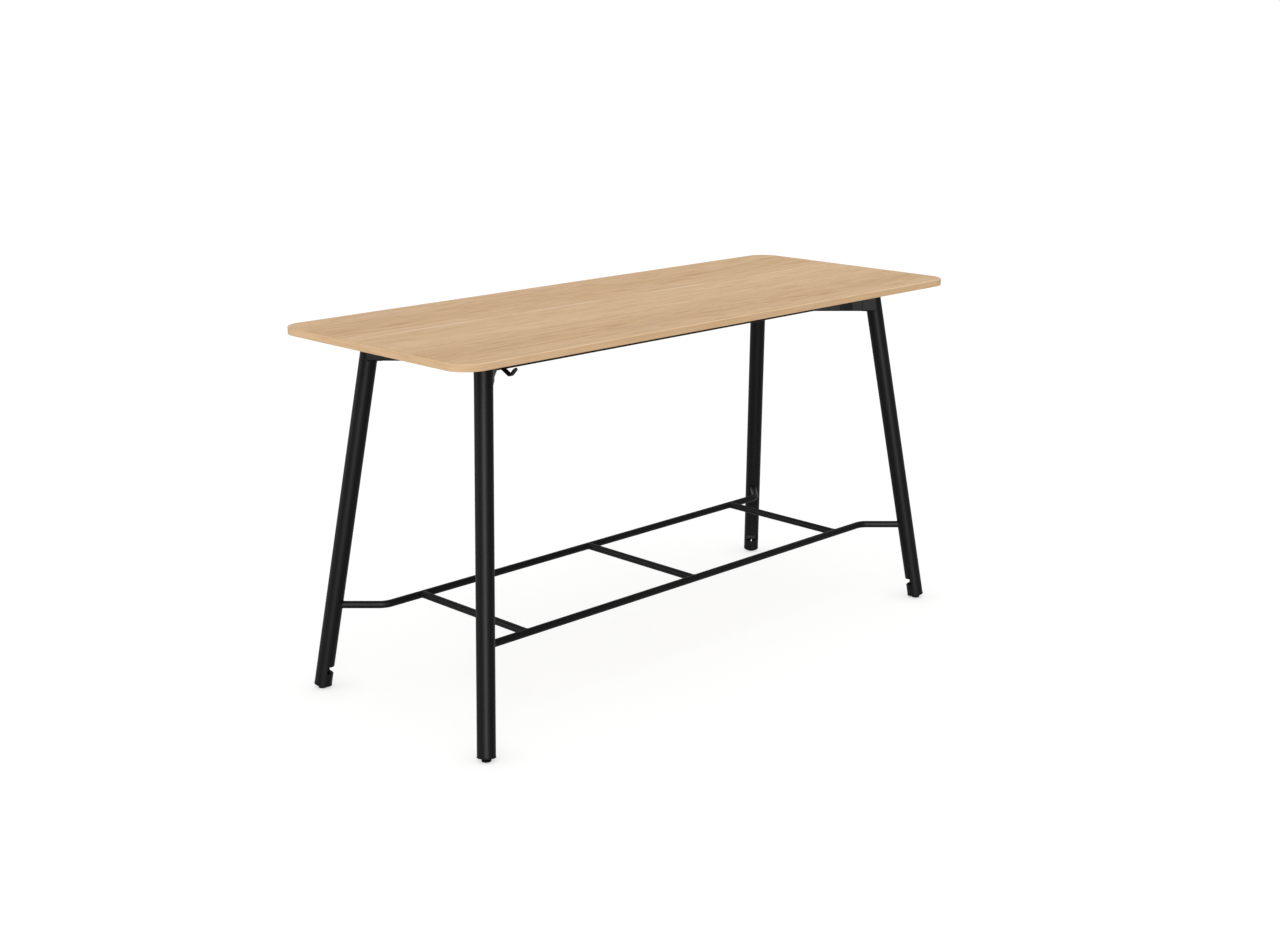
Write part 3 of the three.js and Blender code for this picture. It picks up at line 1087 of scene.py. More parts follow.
@dataclass
class UpperFrame(SubAssembly):
    """Rails, cross tubes, arms, stubs and couplers under the board."""

    cross_x: float = 0.320
    cross_end: float = 0.0812
    cross_height: float = 0.040
    arm: tuple[float, float] = (0.14384, 0.23463)
    collar: tuple[float, float] = (0.23493, 0.27293)
    stub: tuple[float, float] = (0.27323, 0.30553)
    collar_edge: float = 0.0008

    def build(self) -> None:
        """Build the tubes and the couplers between them."""
        lay = self.layout
        half_turn = Matrix.Rotation(math.pi, 4, "Z")
        for side in Side:
            rail = self.box_tube(
                f"{side.label}_rail_tube", -lay.rail_end, lay.rail_end, (-lay.mitre, lay.mitre)
            )
            rail.data.transform(Matrix.Translation((0.0, -lay.rail_y, 0.0)))
            if side is Side.REAR:
                rail.data.transform(half_turn)
            self.keep(rail, Slot.COAT, f"{side.label}_rail")
        for place in (Place.LEFT, Place.RIGHT):
            tube = self.box_tube(
                f"cross_tube_{place.label}_tube",
                -self.cross_end,
                self.cross_end,
                height=self.cross_height,
            )
            tube.data.transform(Matrix.Rotation(math.pi / 2, 4, "Z"))
            tube.data.transform(Matrix.Translation((place.value * self.cross_x, 0.0, 0.0)))
            self.keep(tube, Slot.COAT, f"cross_tube_{place.label}")
        for corner in Corner:
            self._build_arm(corner)

    def _build_arm(self, corner: Corner) -> None:
        """Build one arm from its rail to its leg.

        Args:
            corner: The arm's corner.
        """
        lay = self.layout
        label = corner.label
        slope = corner.value[0] * corner.value[1] * lay.mitre
        frame = lay.corner(corner)
        arm = self.box_tube(f"arm_tube_{label}", *self.arm, (slope, 0.0))
        stub = self.box_tube(f"leg_stub_tube_{label}", *self.stub)
        section = rounded_box(lay.tube_width, lay.tube_height, lay.tube_corner)
        tight = rounded_box(
            lay.tube_width - 2 * self.collar_edge,
            lay.tube_height - 2 * self.collar_edge,
            lay.tube_corner - self.collar_edge,
        )
        middle = (lay.frame_top + lay.frame_bottom) / 2
        inner, outer = self.collar
        rings = [
            [Vector((x, y, middle + z)) for y, z in shape]
            for x, shape in (
                (inner, tight),
                (inner + self.collar_edge, section),
                (outer - self.collar_edge, section),
                (outer, tight),
            )
        ]
        collar = smoothed(loft(f"coupler_collar_{label}", rings))
        for obj in (arm, stub, collar):
            obj.data.transform(frame)
        self.keep(arm, Slot.COAT, f"arm_{label}")
        self.keep(stub, Slot.COAT, f"leg_stub_{label}")
        self.keep(collar, Slot.PLASTIC, f"coupler_{label}")


@dataclass
class LegSet(SubAssembly):
    """Four splayed tubes with flat-cheeked heads, end inserts and cable notches."""

    wall: float = 0.002
    head_length: float = 0.0415
    head_levels: int = 9
    head_steps: int = 40
    head_edge: float = 0.005
    head_edge_steps: int = 5
    sides: int = 128
    tube_end: float = 0.013
    notch_sill: float = 0.046
    notch_height: float = 0.024
    notch_depth: float = 0.015
    notch_corner: float = 0.004
    insert_foot: float = 0.0097
    insert_lip: float = 0.0256
    insert_lip_edge: float = 0.0007
    insert_top: float = 0.0327
    insert_bore: float = 0.0043
    insert_gap: float = 0.0003

    def build(self) -> None:
        """Build the four legs."""
        for corner in Corner:
            label = corner.label
            tube = self._tube(f"leg_tube_{label}")
            insert = self._insert(f"foot_insert_plug_{label}")
            head = self._head(f"leg_head_casting_{label}")
            tube.data.transform(self.layout.leg(corner))
            insert.data.transform(self.layout.leg(corner))
            head.data.transform(self.layout.corner(corner))
            self.keep(tube, Slot.COAT, f"leg_{label}")
            self.keep(insert, Slot.PLASTIC, f"foot_insert_{label}")
            self.keep(head, Slot.COAT, f"leg_head_{label}")

    def _tube(self, name: str) -> bpy.types.Object:
        """A leg's tube in its own frame: square at the foot, level under the head."""
        lay = self.layout
        level = lay.frame_bottom - lay.frame_gap
        inner = lay.leg_radius - self.wall

        def foot(radius: float) -> Ring:
            """The square end at the floor."""
            return [Vector((x, y, self.tube_end)) for x, y in circle(radius, self.sides)]

        def top(radius: float) -> Ring:
            """The level end under the head."""
            return [
                Vector((x, y, (level - x * math.sin(lay.splay)) / math.cos(lay.splay)))
                for x, y in circle(radius, self.sides)
            ]

        rings = [foot(lay.leg_radius), top(lay.leg_radius), top(inner), foot(inner)]
        tube = loft(name, rings, Ends.LOOPED)
        slot_width = 2 * lay.leg_radius
        section = rounded_box(slot_width, self.notch_height, self.notch_corner, 8)
        middle = Vector((
            self.notch_depth - lay.leg_radius - slot_width / 2,
            0.0,
            self.notch_sill + self.notch_height / 2,
        ))
        reach = Vector((0.0, 2 * lay.leg_radius, 0.0))
        across, up = Vector((1.0, 0.0, 0.0)), Vector((0.0, 0.0, 1.0))
        cutter = loft(
            f"{name}_notch", [placed(section, middle + reach * end, across, up) for end in (-1, 1)]
        )
        smoothed(carved(tube, cutter))
        # Inner faces get the paler inside finish, which carries painted light seen through the notch.
        for face in tube.data.polygons:
            face.material_index = int(face.center.xy.length < lay.leg_radius - 0.75 * self.wall)
        return tube

    def _insert(self, name: str) -> bpy.types.Object:
        """The plastic insert in a leg's end, with a lip under the tube's rim."""
        plug = self.layout.leg_radius - self.wall - self.insert_gap
        seat = self.tube_end - self.insert_gap
        lip = arc(
            (self.insert_lip - self.insert_lip_edge, self.insert_foot + self.insert_lip_edge),
            self.insert_lip_edge, -90.0, 0.0, 4,
        )
        profile = [
            (self.insert_bore, self.insert_foot),
            *lip,
            (self.insert_lip, seat),
            (plug, seat),
            (plug, self.insert_top),
            (self.insert_bore, self.insert_top),
        ]
        return smoothed(turned(name, profile, self.sides, Ends.LOOPED))

    def _head(self, name: str) -> bpy.types.Object:
        """A leg's head in its corner's frame: flat cheeks that run into the leaning round."""
        lay = self.layout
        outer = lay.leg_reach(lay.frame_bottom)
        inner = outer - self.head_length
        long_radius = lay.leg_radius / math.cos(lay.splay)
        rings = []
        for rise, inset in self._head_rises():
            z = lay.frame_bottom + rise
            wide = lay.leg_radius - inset
            axis = lay.leg_reach(z)
            crease = math.acos(min(1.0, (outer - axis) / long_radius))
            turns = [crease - 2 * crease * step / self.head_steps
                     for step in range(self.head_steps + 1)]
            nose = [(axis + long_radius * math.cos(turn), lay.leg_radius * math.sin(turn))
                    for turn in turns]
            cheek = [(outer, -lay.leg_radius), (inner, -wide),
                     (inner, wide), (outer, lay.leg_radius)]
            rings.append([Vector((x, y, z)) for x, y in cheek[3:] + nose + cheek[:3]])
        return smoothed(loft(name, rings))

    def _head_rises(self) -> list[Point2]:
        """Heights of the head's rings, each with how far the eased edge draws its back in."""
        edge = self.head_edge
        turns = [90.0 / self.head_edge_steps * step for step in range(self.head_edge_steps + 1)]
        eased = [
            (edge * (1 - math.cos(math.radians(turn))), edge * (1 - math.sin(math.radians(turn))))
            for turn in turns
        ]
        rest = (self.layout.tube_height - edge) / self.head_levels
        return eased + [(edge + rest * level, 0.0) for level in range(1, self.head_levels + 1)]


@dataclass
class Glides(SubAssembly):
    """Levelling studs with an M8 thread, and the pads that they stand in."""

    ball_level: float = 0.0046
    ball_radius: float = 0.0035
    neck_radius: float = 0.0025
    hex_flats: float = 0.010
    hex_bottom: float = 0.0070
    hex_top: float = 0.0094
    hex_chamfer: float = 0.0004
    thread_radius: float = 0.0040
    thread_root: float = 0.0034
    thread_pitch: float = 0.00125
    thread_top: float = 0.044
    thread_sides: int = 40
    thread_steps: int = 8
    pad_radius: float = 0.013
    pad_edge: float = 0.001
    pad_rim: float = 0.0036
    pad_height: float = 0.0056
    pad_crown: float = 0.005
    pad_sides: int = 96

    def build(self) -> None:
        """Build a stud and a pad for each leg."""
        lay = self.layout
        for corner in Corner:
            label = corner.label
            stud = self._stud(f"levelling_stud_{label}")
            stud.data.transform(lay.leg(corner))
            self.keep(stud, Slot.ZINC, f"glide_stud_{label}", body=f"glide_stud_{label}")
            pad = self._pad(f"swivel_pad_{label}")
            spot = Matrix.Translation((lay.leg_reach(self.ball_level), 0.0, 0.0))
            pad.data.transform(lay.corner(corner) @ spot)
            self.keep(pad, Slot.PLASTIC, f"glide_pad_{label}", body=f"glide_pad_{label}")

    def _stud(self, name: str) -> bpy.types.Object:
        """A stud in its leg's frame: ball, neck, hexagon and threaded shank."""
        centre = self.ball_level / math.cos(self.layout.splay)
        mouth = math.degrees(math.acos(self.neck_radius / self.ball_radius))
        middle = (self.hex_bottom + self.hex_top) / 2
        ball = turned(
            f"{name}_ball",
            [*arc((0.0, centre), self.ball_radius, -90.0, mouth, 12),
             (self.neck_radius, middle), (0.0, middle)],
            48,
            Ends.CAPPED,
        )
        point = self.hex_flats / 2 / math.cos(math.pi / 6)
        nut = turned(
            f"{name}_hex",
            [(point - self.hex_chamfer, self.hex_bottom),
             (point, self.hex_bottom + self.hex_chamfer),
             (point, self.hex_top - self.hex_chamfer),
             (point - self.hex_chamfer, self.hex_top)],
            6,
            Ends.CAPPED,
        )
        return smoothed(joined(name, [ball, nut, self._thread(f"{name}_thread", middle)]))

    def _thread(self, name: str, start: float) -> bpy.types.Object:
        """A threaded shank, with its ridge winding up by one pitch in each turn."""
        count = round((self.thread_top - start) / self.thread_pitch * self.thread_steps)
        rings = []
        for level in range(count + 1):
            z = start + (self.thread_top - start) * level / count
            ring = []
            for step in range(self.thread_sides):
                share = step / self.thread_sides
                phase = (z / self.thread_pitch - share) % 1.0
                ridge = min(1.0, max(0.0, 1.25 - abs(phase - 0.5) * 2.5))
                radius = self.thread_root + (self.thread_radius - self.thread_root) * ridge
                turn = math.tau * share
                ring.append(Vector((radius * math.cos(turn), radius * math.sin(turn), z)))
            rings.append(ring)
        return loft(name, rings)

    def _pad(self, name: str) -> bpy.types.Object:
        """A pad about its own axis: flat on the floor, with a mouth for the ball."""
        edge = self.pad_edge
        wide = self.pad_radius - edge
        socket = self.ball_radius + 0.0003
        mouth = math.degrees(math.asin((self.pad_height - self.ball_level) / socket))
        profile = [
            (0.0, 0.0),
            *arc((wide, edge), edge, -90.0, 0.0, 6),
            *arc((wide, self.pad_rim - edge * 0.4), edge, 0.0, 70.0, 6),
            (self.pad_crown, self.pad_height),
            *arc((0.0, self.ball_level), socket, mouth, -90.0, 12),
        ]
        return smoothed(turned(name, profile, self.pad_sides, Ends.CAPPED), 40.0)


@dataclass
class FootRest(SubAssembly):
    """Two long bars bent out to the legs, three cross bars and the weld beads at their ends."""

    radius: float = 0.0107
    spacing: float = 0.459
    bend: float = 0.050
    bend_steps: int = 16
    sides: int = 48
    cross_x: float = 0.664
    sink: float = 0.0002
    bead_radius: float = 0.0010
    beads: list[Ring] = field(default_factory=list, init=False)

    def build(self) -> None:
        """Build the bars, and keep the lines that the welds follow."""
        lay = self.layout
        reach = lay.leg_reach(lay.foot_level) * math.sqrt(0.5)
        for side in Side:
            depth = side.value
            corners = [
                Vector((sign * x, depth * y, lay.foot_level))
                for sign, x, y in (
                    (-1, lay.hub_x + reach, reach),
                    (-1, lay.hub_x + self.spacing / 2, self.spacing / 2),
                    (1, lay.hub_x + self.spacing / 2, self.spacing / 2),
                    (1, lay.hub_x + reach, reach),
                )
            ]
            bar = self._long_bar(f"footrest_tube_{side.label}", corners, side)
            self.keep(bar, Slot.COAT, f"footrest_bar_{side.label}")
        for place in Place:
            bar = self._cross_bar(f"footrest_cross_tube_{place.label}", place.value * self.cross_x)
            self.keep(bar, Slot.COAT, f"footrest_cross_{place.label}")

    def _long_bar(
        self, name: str, corners: Sequence[Vector], side: Side
    ) -> bpy.types.Object:
        """One long bar, coped to the round of the legs at both ends.

        Args:
            name: The object's name.
            corners: Corner points of its middle line, from left to right.
            side: The side of the table that it is on.

        Returns:
            The new object.
        """
        up = Vector((0.0, 0.0, 1.0))
        section = circle(self.radius, self.sides)
        rings = [
            placed(section, station.point, station.tangent.cross(up), up)
            for station in bent_run(corners, self.bend, self.bend_steps)
        ]
        for end, inside, sign in ((0, 1, -1), (-1, -2, 1)):
            frame = self.layout.leg(Corner((sign, side.value)))
            heading = (corners[end] - corners[inside]).normalized()
            axis = (frame.to_3x3() @ up).normalized()
            rings[end] = [
                reach_cylinder(
                    point, heading, frame.translation, axis, self.layout.leg_radius - self.sink
                )
                for point in rings[inside]
            ]
            self.beads.append(rings[end])
        return smoothed(loft(name, rings))

    def _cross_bar(self, name: str, x: float) -> bpy.types.Object:
        """One cross bar, coped to the round of the long bars.

        Args:
            name: The object's name.
            x: Its place along the table.

        Returns:
            The new object.
        """
        lay = self.layout
        ahead = Vector((0.0, 1.0, 0.0))
        along, up = Vector((1.0, 0.0, 0.0)), Vector((0.0, 0.0, 1.0))
        middle = placed(circle(self.radius, self.sides), Vector((x, 0.0, lay.foot_level)), along, up)
        rings = []
        for sign in (-1, 1):
            foot = Vector((x, sign * self.spacing / 2, lay.foot_level))
            rings.append([
                reach_cylinder(point, ahead * sign, foot, along, self.radius - self.sink)
                for point in middle
            ])
        self.beads.extend(rings)
        return smoothed(loft(name, rings))


@dataclass
class BagHook(SubAssembly):
    """A bent strip on the front rail, to hang a bag from."""

    x: float = -0.646
    width: float = 0.015
    strip: float = 0.005
    edge: float = 0.0012
    gap: float = 0.0003
    base: float = 0.052
    leave: float = 0.008
    reach: float = 0.0355
    drop: float = 0.018
    tip_reach: float = 0.018
    tip_rise: float = 0.018
    bend: float = 0.006
    bend_steps: int = 10
    tip_steps: int = 12

    def build(self) -> None:
        """Sweep the strip along its bends, and round its tip off."""
        lay = self.layout
        face = -(lay.rail_y + lay.tube_width / 2 + self.gap + self.strip / 2)
        level = lay.frame_bottom + self.leave
        low = face - self.reach
        corners = [
            Vector((self.x, face, level + self.base)),
            Vector((self.x, face, level)),
            Vector((self.x, low, level - self.drop)),
            Vector((self.x, low - self.tip_reach, level - self.drop + self.tip_rise)),
        ]
        across = Vector((1.0, 0.0, 0.0))
        stations = bent_run(corners, self.bend, self.bend_steps)
        spans = [(station, self.width) for station in stations]
        last = stations[-1]
        for step in range(1, self.tip_steps + 1):
            turn = math.pi / 2 * step / self.tip_steps
            out = last.point + last.tangent * self.width / 2 * math.sin(turn)
            wide = max(self.width * math.cos(turn), self.strip * 0.6)
            spans.append((Station(out, last.tangent), wide))
        rings = [
            placed(
                rounded_box(wide, self.strip, min(self.edge, wide / 3)),
                station.point,
                across,
                across.cross(station.tangent),
            )
            for station, wide in spans
        ]
        self.keep(smoothed(loft("bag_hook_strip", rings), 40.0), Slot.COAT, "bag_hook")


@dataclass(frozen=True)
class Bolt:
    """Where a screw's head sits and which way it faces."""

    seat: Vector
    axis: Vector


@dataclass
class Fasteners(SubAssembly):
    """Screw heads, set out by Geometry Nodes."""

    upper: UpperFrame
    hook: BagHook
    palette: dict[Slot, list[bpy.types.Material]]
    head_diameter: float = 0.0095
    head_height: float = 0.0035
    flush: float = 0.0003
    lug_x: float = 0.560
    lug_y: float = 0.0662
    lug_thickness: float = 0.004

    def build(self) -> None:
        """Put wood screws in the lugs and machine screws in the couplers and the hook."""
        lay = self.layout
        down = Vector((0.0, 0.0, -1.0))
        level = lay.frame_top - self.lug_thickness
        wood = [
            Bolt(Vector((place.value * self.lug_x, side.value * self.lug_y, level)), down)
            for side in Side
            for place in Place
        ]
        machine = []
        for corner in Corner:
            for reach in (self.upper.collar[0] - 0.015, self.upper.collar[1] + 0.015):
                sunk = lay.frame_bottom + self.head_height - self.flush
                seat = lay.corner(corner) @ Vector((reach, 0.0, sunk))
                machine.append(Bolt(seat, down))
        hook = self.hook
        front = -(lay.rail_y + lay.tube_width / 2 + hook.gap + hook.strip)
        for rise in (0.016, 0.040):
            seat = Vector((hook.x, front, lay.frame_bottom + hook.leave + rise))
            machine.append(Bolt(seat, Vector((0.0, -1.0, 0.0))))
        tree = self._tree()
        for name, bolts, slot in (
            ("lug_screw_heads", wood, Slot.ZINC),
            ("machine_screw_heads", machine, Slot.COAT),
        ):
            self.keep(self._heads(name, tree, bolts, self.palette[slot][0]), slot)

    def _tree(self) -> bpy.types.NodeTree:
        """A tree that puts a socket-head screw on each point, facing along its axis."""
        tree = bpy.data.node_groups.new("screw_heads", "GeometryNodeTree")
        panel = tree.interface
        panel.new_socket("Points", in_out="INPUT", socket_type="NodeSocketGeometry")
        panel.new_socket("Head Diameter", in_out="INPUT", socket_type="NodeSocketFloat")
        panel.new_socket("Head Height", in_out="INPUT", socket_type="NodeSocketFloat")
        panel.new_socket("Finish", in_out="INPUT", socket_type="NodeSocketMaterial")
        panel.new_socket("Heads", in_out="OUTPUT", socket_type="NodeSocketGeometry")
        entry = tree.nodes.new("NodeGroupInput")
        points, wide, tall, finish = entry.outputs[:4]

        def share(value: bpy.types.NodeSocket, factor: float) -> bpy.types.NodeSocket:
            """A share of a size."""
            return add_node(
                tree, "ShaderNodeMath", {"Value": value, "Value_001": factor}, operation="MULTIPLY"
            )

        def lifted(mesh: bpy.types.NodeSocket, rise: bpy.types.NodeSocket) -> bpy.types.NodeSocket:
            """A mesh moved up."""
            offset = add_node(tree, "ShaderNodeCombineXYZ", {"Z": rise})
            return add_node(tree, "GeometryNodeTransform", {"Geometry": mesh, "Translation": offset})

        dome = add_node(
            tree,
            "GeometryNodeMeshCone",
            {
                "Vertices": 40,
                "Radius Top": share(wide, 0.36),
                "Radius Bottom": share(wide, 0.5),
                "Depth": tall,
            },
        )
        recess = add_node(
            tree,
            "GeometryNodeMeshCylinder",
            {"Vertices": 6, "Radius": share(wide, 0.28), "Depth": tall},
        )
        head = add_node(
            tree,
            "GeometryNodeMeshBoolean",
            {"Mesh 1": dome, "Mesh 2": lifted(recess, share(tall, 0.9))},
            operation="DIFFERENCE",
        )
        axis = add_node(
            tree, "GeometryNodeInputNamedAttribute", {"Name": "axis"}, data_type="FLOAT_VECTOR"
        )
        turn = add_node(tree, "FunctionNodeAlignRotationToVector", {"Vector": axis}, axis="Z")
        copies = add_node(
            tree,
            "GeometryNodeInstanceOnPoints",
            {"Points": points, "Instance": head, "Rotation": turn},
        )
        real = add_node(tree, "GeometryNodeRealizeInstances", {"Geometry": copies})
        done = add_node(tree, "GeometryNodeSetMaterial", {"Geometry": real, "Material": finish})
        leave = tree.nodes.new("NodeGroupOutput")
        tree.links.new(done, leave.inputs[0])
        return tree

    def _heads(
        self,
        name: str,
        tree: bpy.types.NodeTree,
        bolts: Sequence[Bolt],
        finish: bpy.types.Material,
    ) -> bpy.types.Object:
        """Run the tree on a row of bolts.

        Args:
            name: The object's name.
            tree: The tree of screw heads.
            bolts: Where the heads go.
            finish: Their material.

        Returns:
            The heads as one plain mesh.
        """
        mesh = bpy.data.meshes.new(name)
        mesh.from_pydata([bolt.seat for bolt in bolts], [], [])
        axis = mesh.attributes.new("axis", "FLOAT_VECTOR", "POINT")
        for entry, bolt in zip(axis.data, bolts):
            entry.vector = bolt.axis
        obj = shown(name, mesh)
        set_inputs(obj, tree, {
            "Head Diameter": self.head_diameter,
            "Head Height": self.head_height,
            "Finish": finish,
        })
        return smoothed(flattened(obj))


@dataclass
class WeldBeads(SubAssembly):
    """Weld beads along the coped ends of the foot rest, drawn by Geometry Nodes."""

    rest: FootRest
    finish: bpy.types.Material
    ripple_pitch: float = 0.0022

    def build(self) -> None:
        """Draw a bead along each line where two tubes meet."""
        points: list[Vector] = []
        edges: list[tuple[int, int]] = []
        for line in self.rest.beads:
            first = len(points)
            points.extend(line)
            count = len(line)
            edges.extend((first + i, first + (i + 1) % count) for i in range(count))
        mesh = bpy.data.meshes.new("footrest_weld_beads")
        mesh.from_pydata(points, edges, [])
        obj = shown("footrest_weld_beads", mesh)
        set_inputs(obj, self._tree(), {
            "Bead Radius": self.rest.bead_radius,
            "Ripple Pitch": self.ripple_pitch,
            "Finish": self.finish,
        })
        self.keep(smoothed(flattened(obj), 60.0), Slot.COAT)

    def _tree(self) -> bpy.types.NodeTree:
        """A tree that sweeps a rippled bead along each line of edges."""
        tree = bpy.data.node_groups.new("weld_beads", "GeometryNodeTree")
        panel = tree.interface
        panel.new_socket("Lines", in_out="INPUT", socket_type="NodeSocketGeometry")
        panel.new_socket("Bead Radius", in_out="INPUT", socket_type="NodeSocketFloat")
        panel.new_socket("Ripple Pitch", in_out="INPUT", socket_type="NodeSocketFloat")
        panel.new_socket("Finish", in_out="INPUT", socket_type="NodeSocketMaterial")
        panel.new_socket("Beads", in_out="OUTPUT", socket_type="NodeSocketGeometry")
        entry = tree.nodes.new("NodeGroupInput")
        lines, radius, pitch, finish = entry.outputs[:4]
        step = add_node(
            tree, "ShaderNodeMath", {"Value": pitch, "Value_001": 0.25}, operation="MULTIPLY"
        )
        curve = add_node(tree, "GeometryNodeMeshToCurve", {"Mesh": lines})
        fine = add_node(
            tree, "GeometryNodeResampleCurve", {"Curve": curve, "Length": step}, mode="LENGTH"
        )
        place = add_node(tree, "GeometryNodeSplineParameter", out=1)
        turns = add_node(
            tree, "ShaderNodeMath", {"Value": place, "Value_001": pitch}, operation="DIVIDE"
        )
        angle = add_node(
            tree, "ShaderNodeMath", {"Value": turns, "Value_001": math.tau}, operation="MULTIPLY"
        )
        wave = add_node(tree, "ShaderNodeMath", {"Value": angle}, operation="SINE")
        swell = add_node(
            tree,
            "ShaderNodeMath",
            {"Value": wave, "Value_001": 0.12, "Value_002": 1.0},
            operation="MULTIPLY_ADD",
        )
        profile = add_node(
            tree, "GeometryNodeCurvePrimitiveCircle", {"Resolution": 12, "Radius": radius}
        )
        bead = add_node(
            tree,
            "GeometryNodeCurveToMesh",
            {"Curve": fine, "Profile Curve": profile, "Scale": swell},
        )
        real = add_node(tree, "GeometryNodeRealizeInstances", {"Geometry": bead})
        done = add_node(tree, "GeometryNodeSetMaterial", {"Geometry": real, "Material": finish})
        leave = tree.nodes.new("NodeGroupOutput")
        tree.links.new(done, leave.inputs[0])
        return tree


def set_inputs(
    obj: bpy.types.Object, tree: bpy.types.NodeTree, values: dict[str, Any]
) -> None:
    """Put a Geometry Nodes tree on an object and set its named inputs.

    Args:
        obj: The object.
        tree: The tree.
        values: Input values by name.
    """
    modifier = obj.modifiers.new(tree.name, "NODES")
    modifier.node_group = tree
    for item in tree.interface.items_tree:
        if item.in_out == "INPUT" and item.name in values:
            modifier[item.identifier] = values[item.name]


@dataclass
class CarriedOver(SubAssembly):
    """CAD nodes that are shown as they are."""

    nodes: dict[str, bpy.types.Object] = field(default_factory=dict)

    def build(self) -> None:
        """Find the board's fixing lugs."""
        self.names = [
            f"fixing_lug_{side.label}_{place.label}" for side in Side for place in Place
        ]

    def dress(self, palette: dict[Slot, list[bpy.types.Material]]) -> None:
        """Give the lugs the frame's finish.

        Args:
            palette: Materials of each slot.
        """
        for name in self.names:
            mesh = self.nodes[name].data
            mesh.materials.clear()
            mesh.materials.append(palette[Slot.COAT][0])
            LOG.info("dressed %s", name)


@dataclass
class Studio:
    """Camera, soft lights and a white floor."""

    sheen_on: list[bpy.types.Object]
    eye: Vector = field(default_factory=lambda: Vector((-3.6602, -3.6602, 1.9179)))
    aim: Vector = field(default_factory=lambda: Vector((0.0, 0.0, 0.5309)))
    lens: float = 49.70
    sensor: float = 36.0
    floor_size: float = 400.0
    floor_glow: float = 0.80
    floor_white: float = 0.26
    contact_reach: float = 0.12
    contact_shade: float = 0.30
    sky: float = 0.55

    def build(self) -> None:
        """Set up the view and the light."""
        scene = bpy.context.scene
        scene.view_settings.view_transform = "Standard"
        camera = bpy.data.cameras.new("camera")
        camera.lens = self.lens
        camera.sensor_width = self.sensor
        camera.clip_end = 1000.0
        eye = bpy.data.objects.new("camera", camera)
        eye.location = self.eye
        eye.rotation_euler = (self.aim - self.eye).to_track_quat("-Z", "Y").to_euler()
        scene.collection.objects.link(eye)
        scene.camera = eye
        self._lamp("key_softbox", (-1.0, -1.0, 0.30), 26.0, 1.4)
        self._lamp("left_softbox", (-0.85, 0.55, 0.30), 40.0, 0.40)
        self._lamp("top_softbox", (-0.2, -0.2, 1.0), 60.0, 0.8)
        # Strip lights near the camera and at the rear left draw the sheen along the tubes.
        black = self._receivers()
        self._lamp("front_strip", (-0.6225, -0.7826, 0.0875), 10.0, 5.8, black)
        self._lamp("high_strip", (-0.557, -0.557, 0.616), 20.0, 4.5, black)
        self._lamp("rear_strip", (-0.70, 0.70, 0.12), 40.0, 1.8, black)
        self._floor()
        self._world()

    def _receivers(self) -> bpy.types.Collection:
        """Gather the pieces that take the strip lights, so that no glare lies on the oak."""
        group = bpy.data.collections.new("sheen_receivers")
        for obj in self.sheen_on:
            group.objects.link(obj)
        return group

    def _lamp(
        self,
        name: str,
        towards: tuple[float, float, float],
        spread: float,
        power: float,
        sheen_on: bpy.types.Collection | None = None,
    ) -> None:
        """Set up a soft light that is far away, so that its level is the same everywhere.

        Args:
            name: The lamp's name.
            towards: Direction from the table to the lamp.
            spread: How wide the lamp looks, in degrees.
            power: Its level in watts per square metre.
            sheen_on: Pieces that it shows on, in reflections only, if not on all as a light.
        """
        lamp = bpy.data.lights.new(name, "SUN")
        lamp.angle = math.radians(spread)
        lamp.energy = power
        obj = bpy.data.objects.new(name, lamp)
        obj.rotation_euler = Vector(towards).to_track_quat("Z", "Y").to_euler()
        if sheen_on:
            obj.visible_diffuse = False
            obj.light_linking.receiver_collection = sheen_on
        bpy.context.scene.collection.objects.link(obj)

    @staticmethod
    def _seen(tree: bpy.types.NodeTree) -> bpy.types.NodeSocket:
        """1 for rays that the eye follows: straight, mirrored or through glass."""
        straight = add_node(tree, "ShaderNodeLightPath", out=0)
        mirrored = add_node(tree, "ShaderNodeLightPath", out=3)
        through = add_node(tree, "ShaderNodeLightPath", out=6)
        both = add_node(
            tree, "ShaderNodeMath", {"Value": straight, "Value_001": mirrored}, operation="MAXIMUM"
        )
        return add_node(
            tree, "ShaderNodeMath", {"Value": both, "Value_001": through}, operation="MAXIMUM"
        )

    def _floor(self) -> None:
        """Lay a white floor that shows the table's shadow and hides nothing from below."""
        half = self.floor_size / 2
        mesh = bpy.data.meshes.new("studio_floor")
        mesh.from_pydata(
            [(-half, -half, 0.0), (half, -half, 0.0), (half, half, 0.0), (-half, half, 0.0)],
            [],
            [(0, 1, 2, 3)],
        )
        floor = shown("studio_floor", mesh)
        material = blank_material("white_studio_floor")
        tree = material.node_tree
        plain = add_node(tree, "ShaderNodeBsdfDiffuse", {"Color": (0.8, 0.8, 0.8, 1.0)})
        tint = (self.floor_white, self.floor_white, self.floor_white, 1.0)
        faint = add_node(tree, "ShaderNodeBsdfDiffuse", {"Color": tint})
        # The glow is dimmed close to the feet, where a real floor gets less light.
        open_share = add_node(
            tree, "ShaderNodeAmbientOcclusion", {"Distance": self.contact_reach}, out=1
        )
        level = add_node(
            tree,
            "ShaderNodeMapRange",
            {
                "Value": open_share,
                "To Min": self.floor_glow * (1 - self.contact_shade),
                "To Max": self.floor_glow,
            },
        )
        glow = add_node(tree, "ShaderNodeEmission", {"Strength": level})
        white = add_node(tree, "ShaderNodeAddShader", {"Shader": faint, "Shader_001": glow})
        front = add_node(
            tree,
            "ShaderNodeMixShader",
            {"Fac": self._seen(tree), "Shader": plain, "Shader_001": white},
        )
        back = add_node(tree, "ShaderNodeNewGeometry", out=6)
        clear = add_node(tree, "ShaderNodeBsdfTransparent")
        whole = add_node(
            tree, "ShaderNodeMixShader", {"Fac": back, "Shader": front, "Shader_001": clear}
        )
        add_node(tree, "ShaderNodeOutputMaterial", {"Surface": whole})
        mesh.materials.append(material)

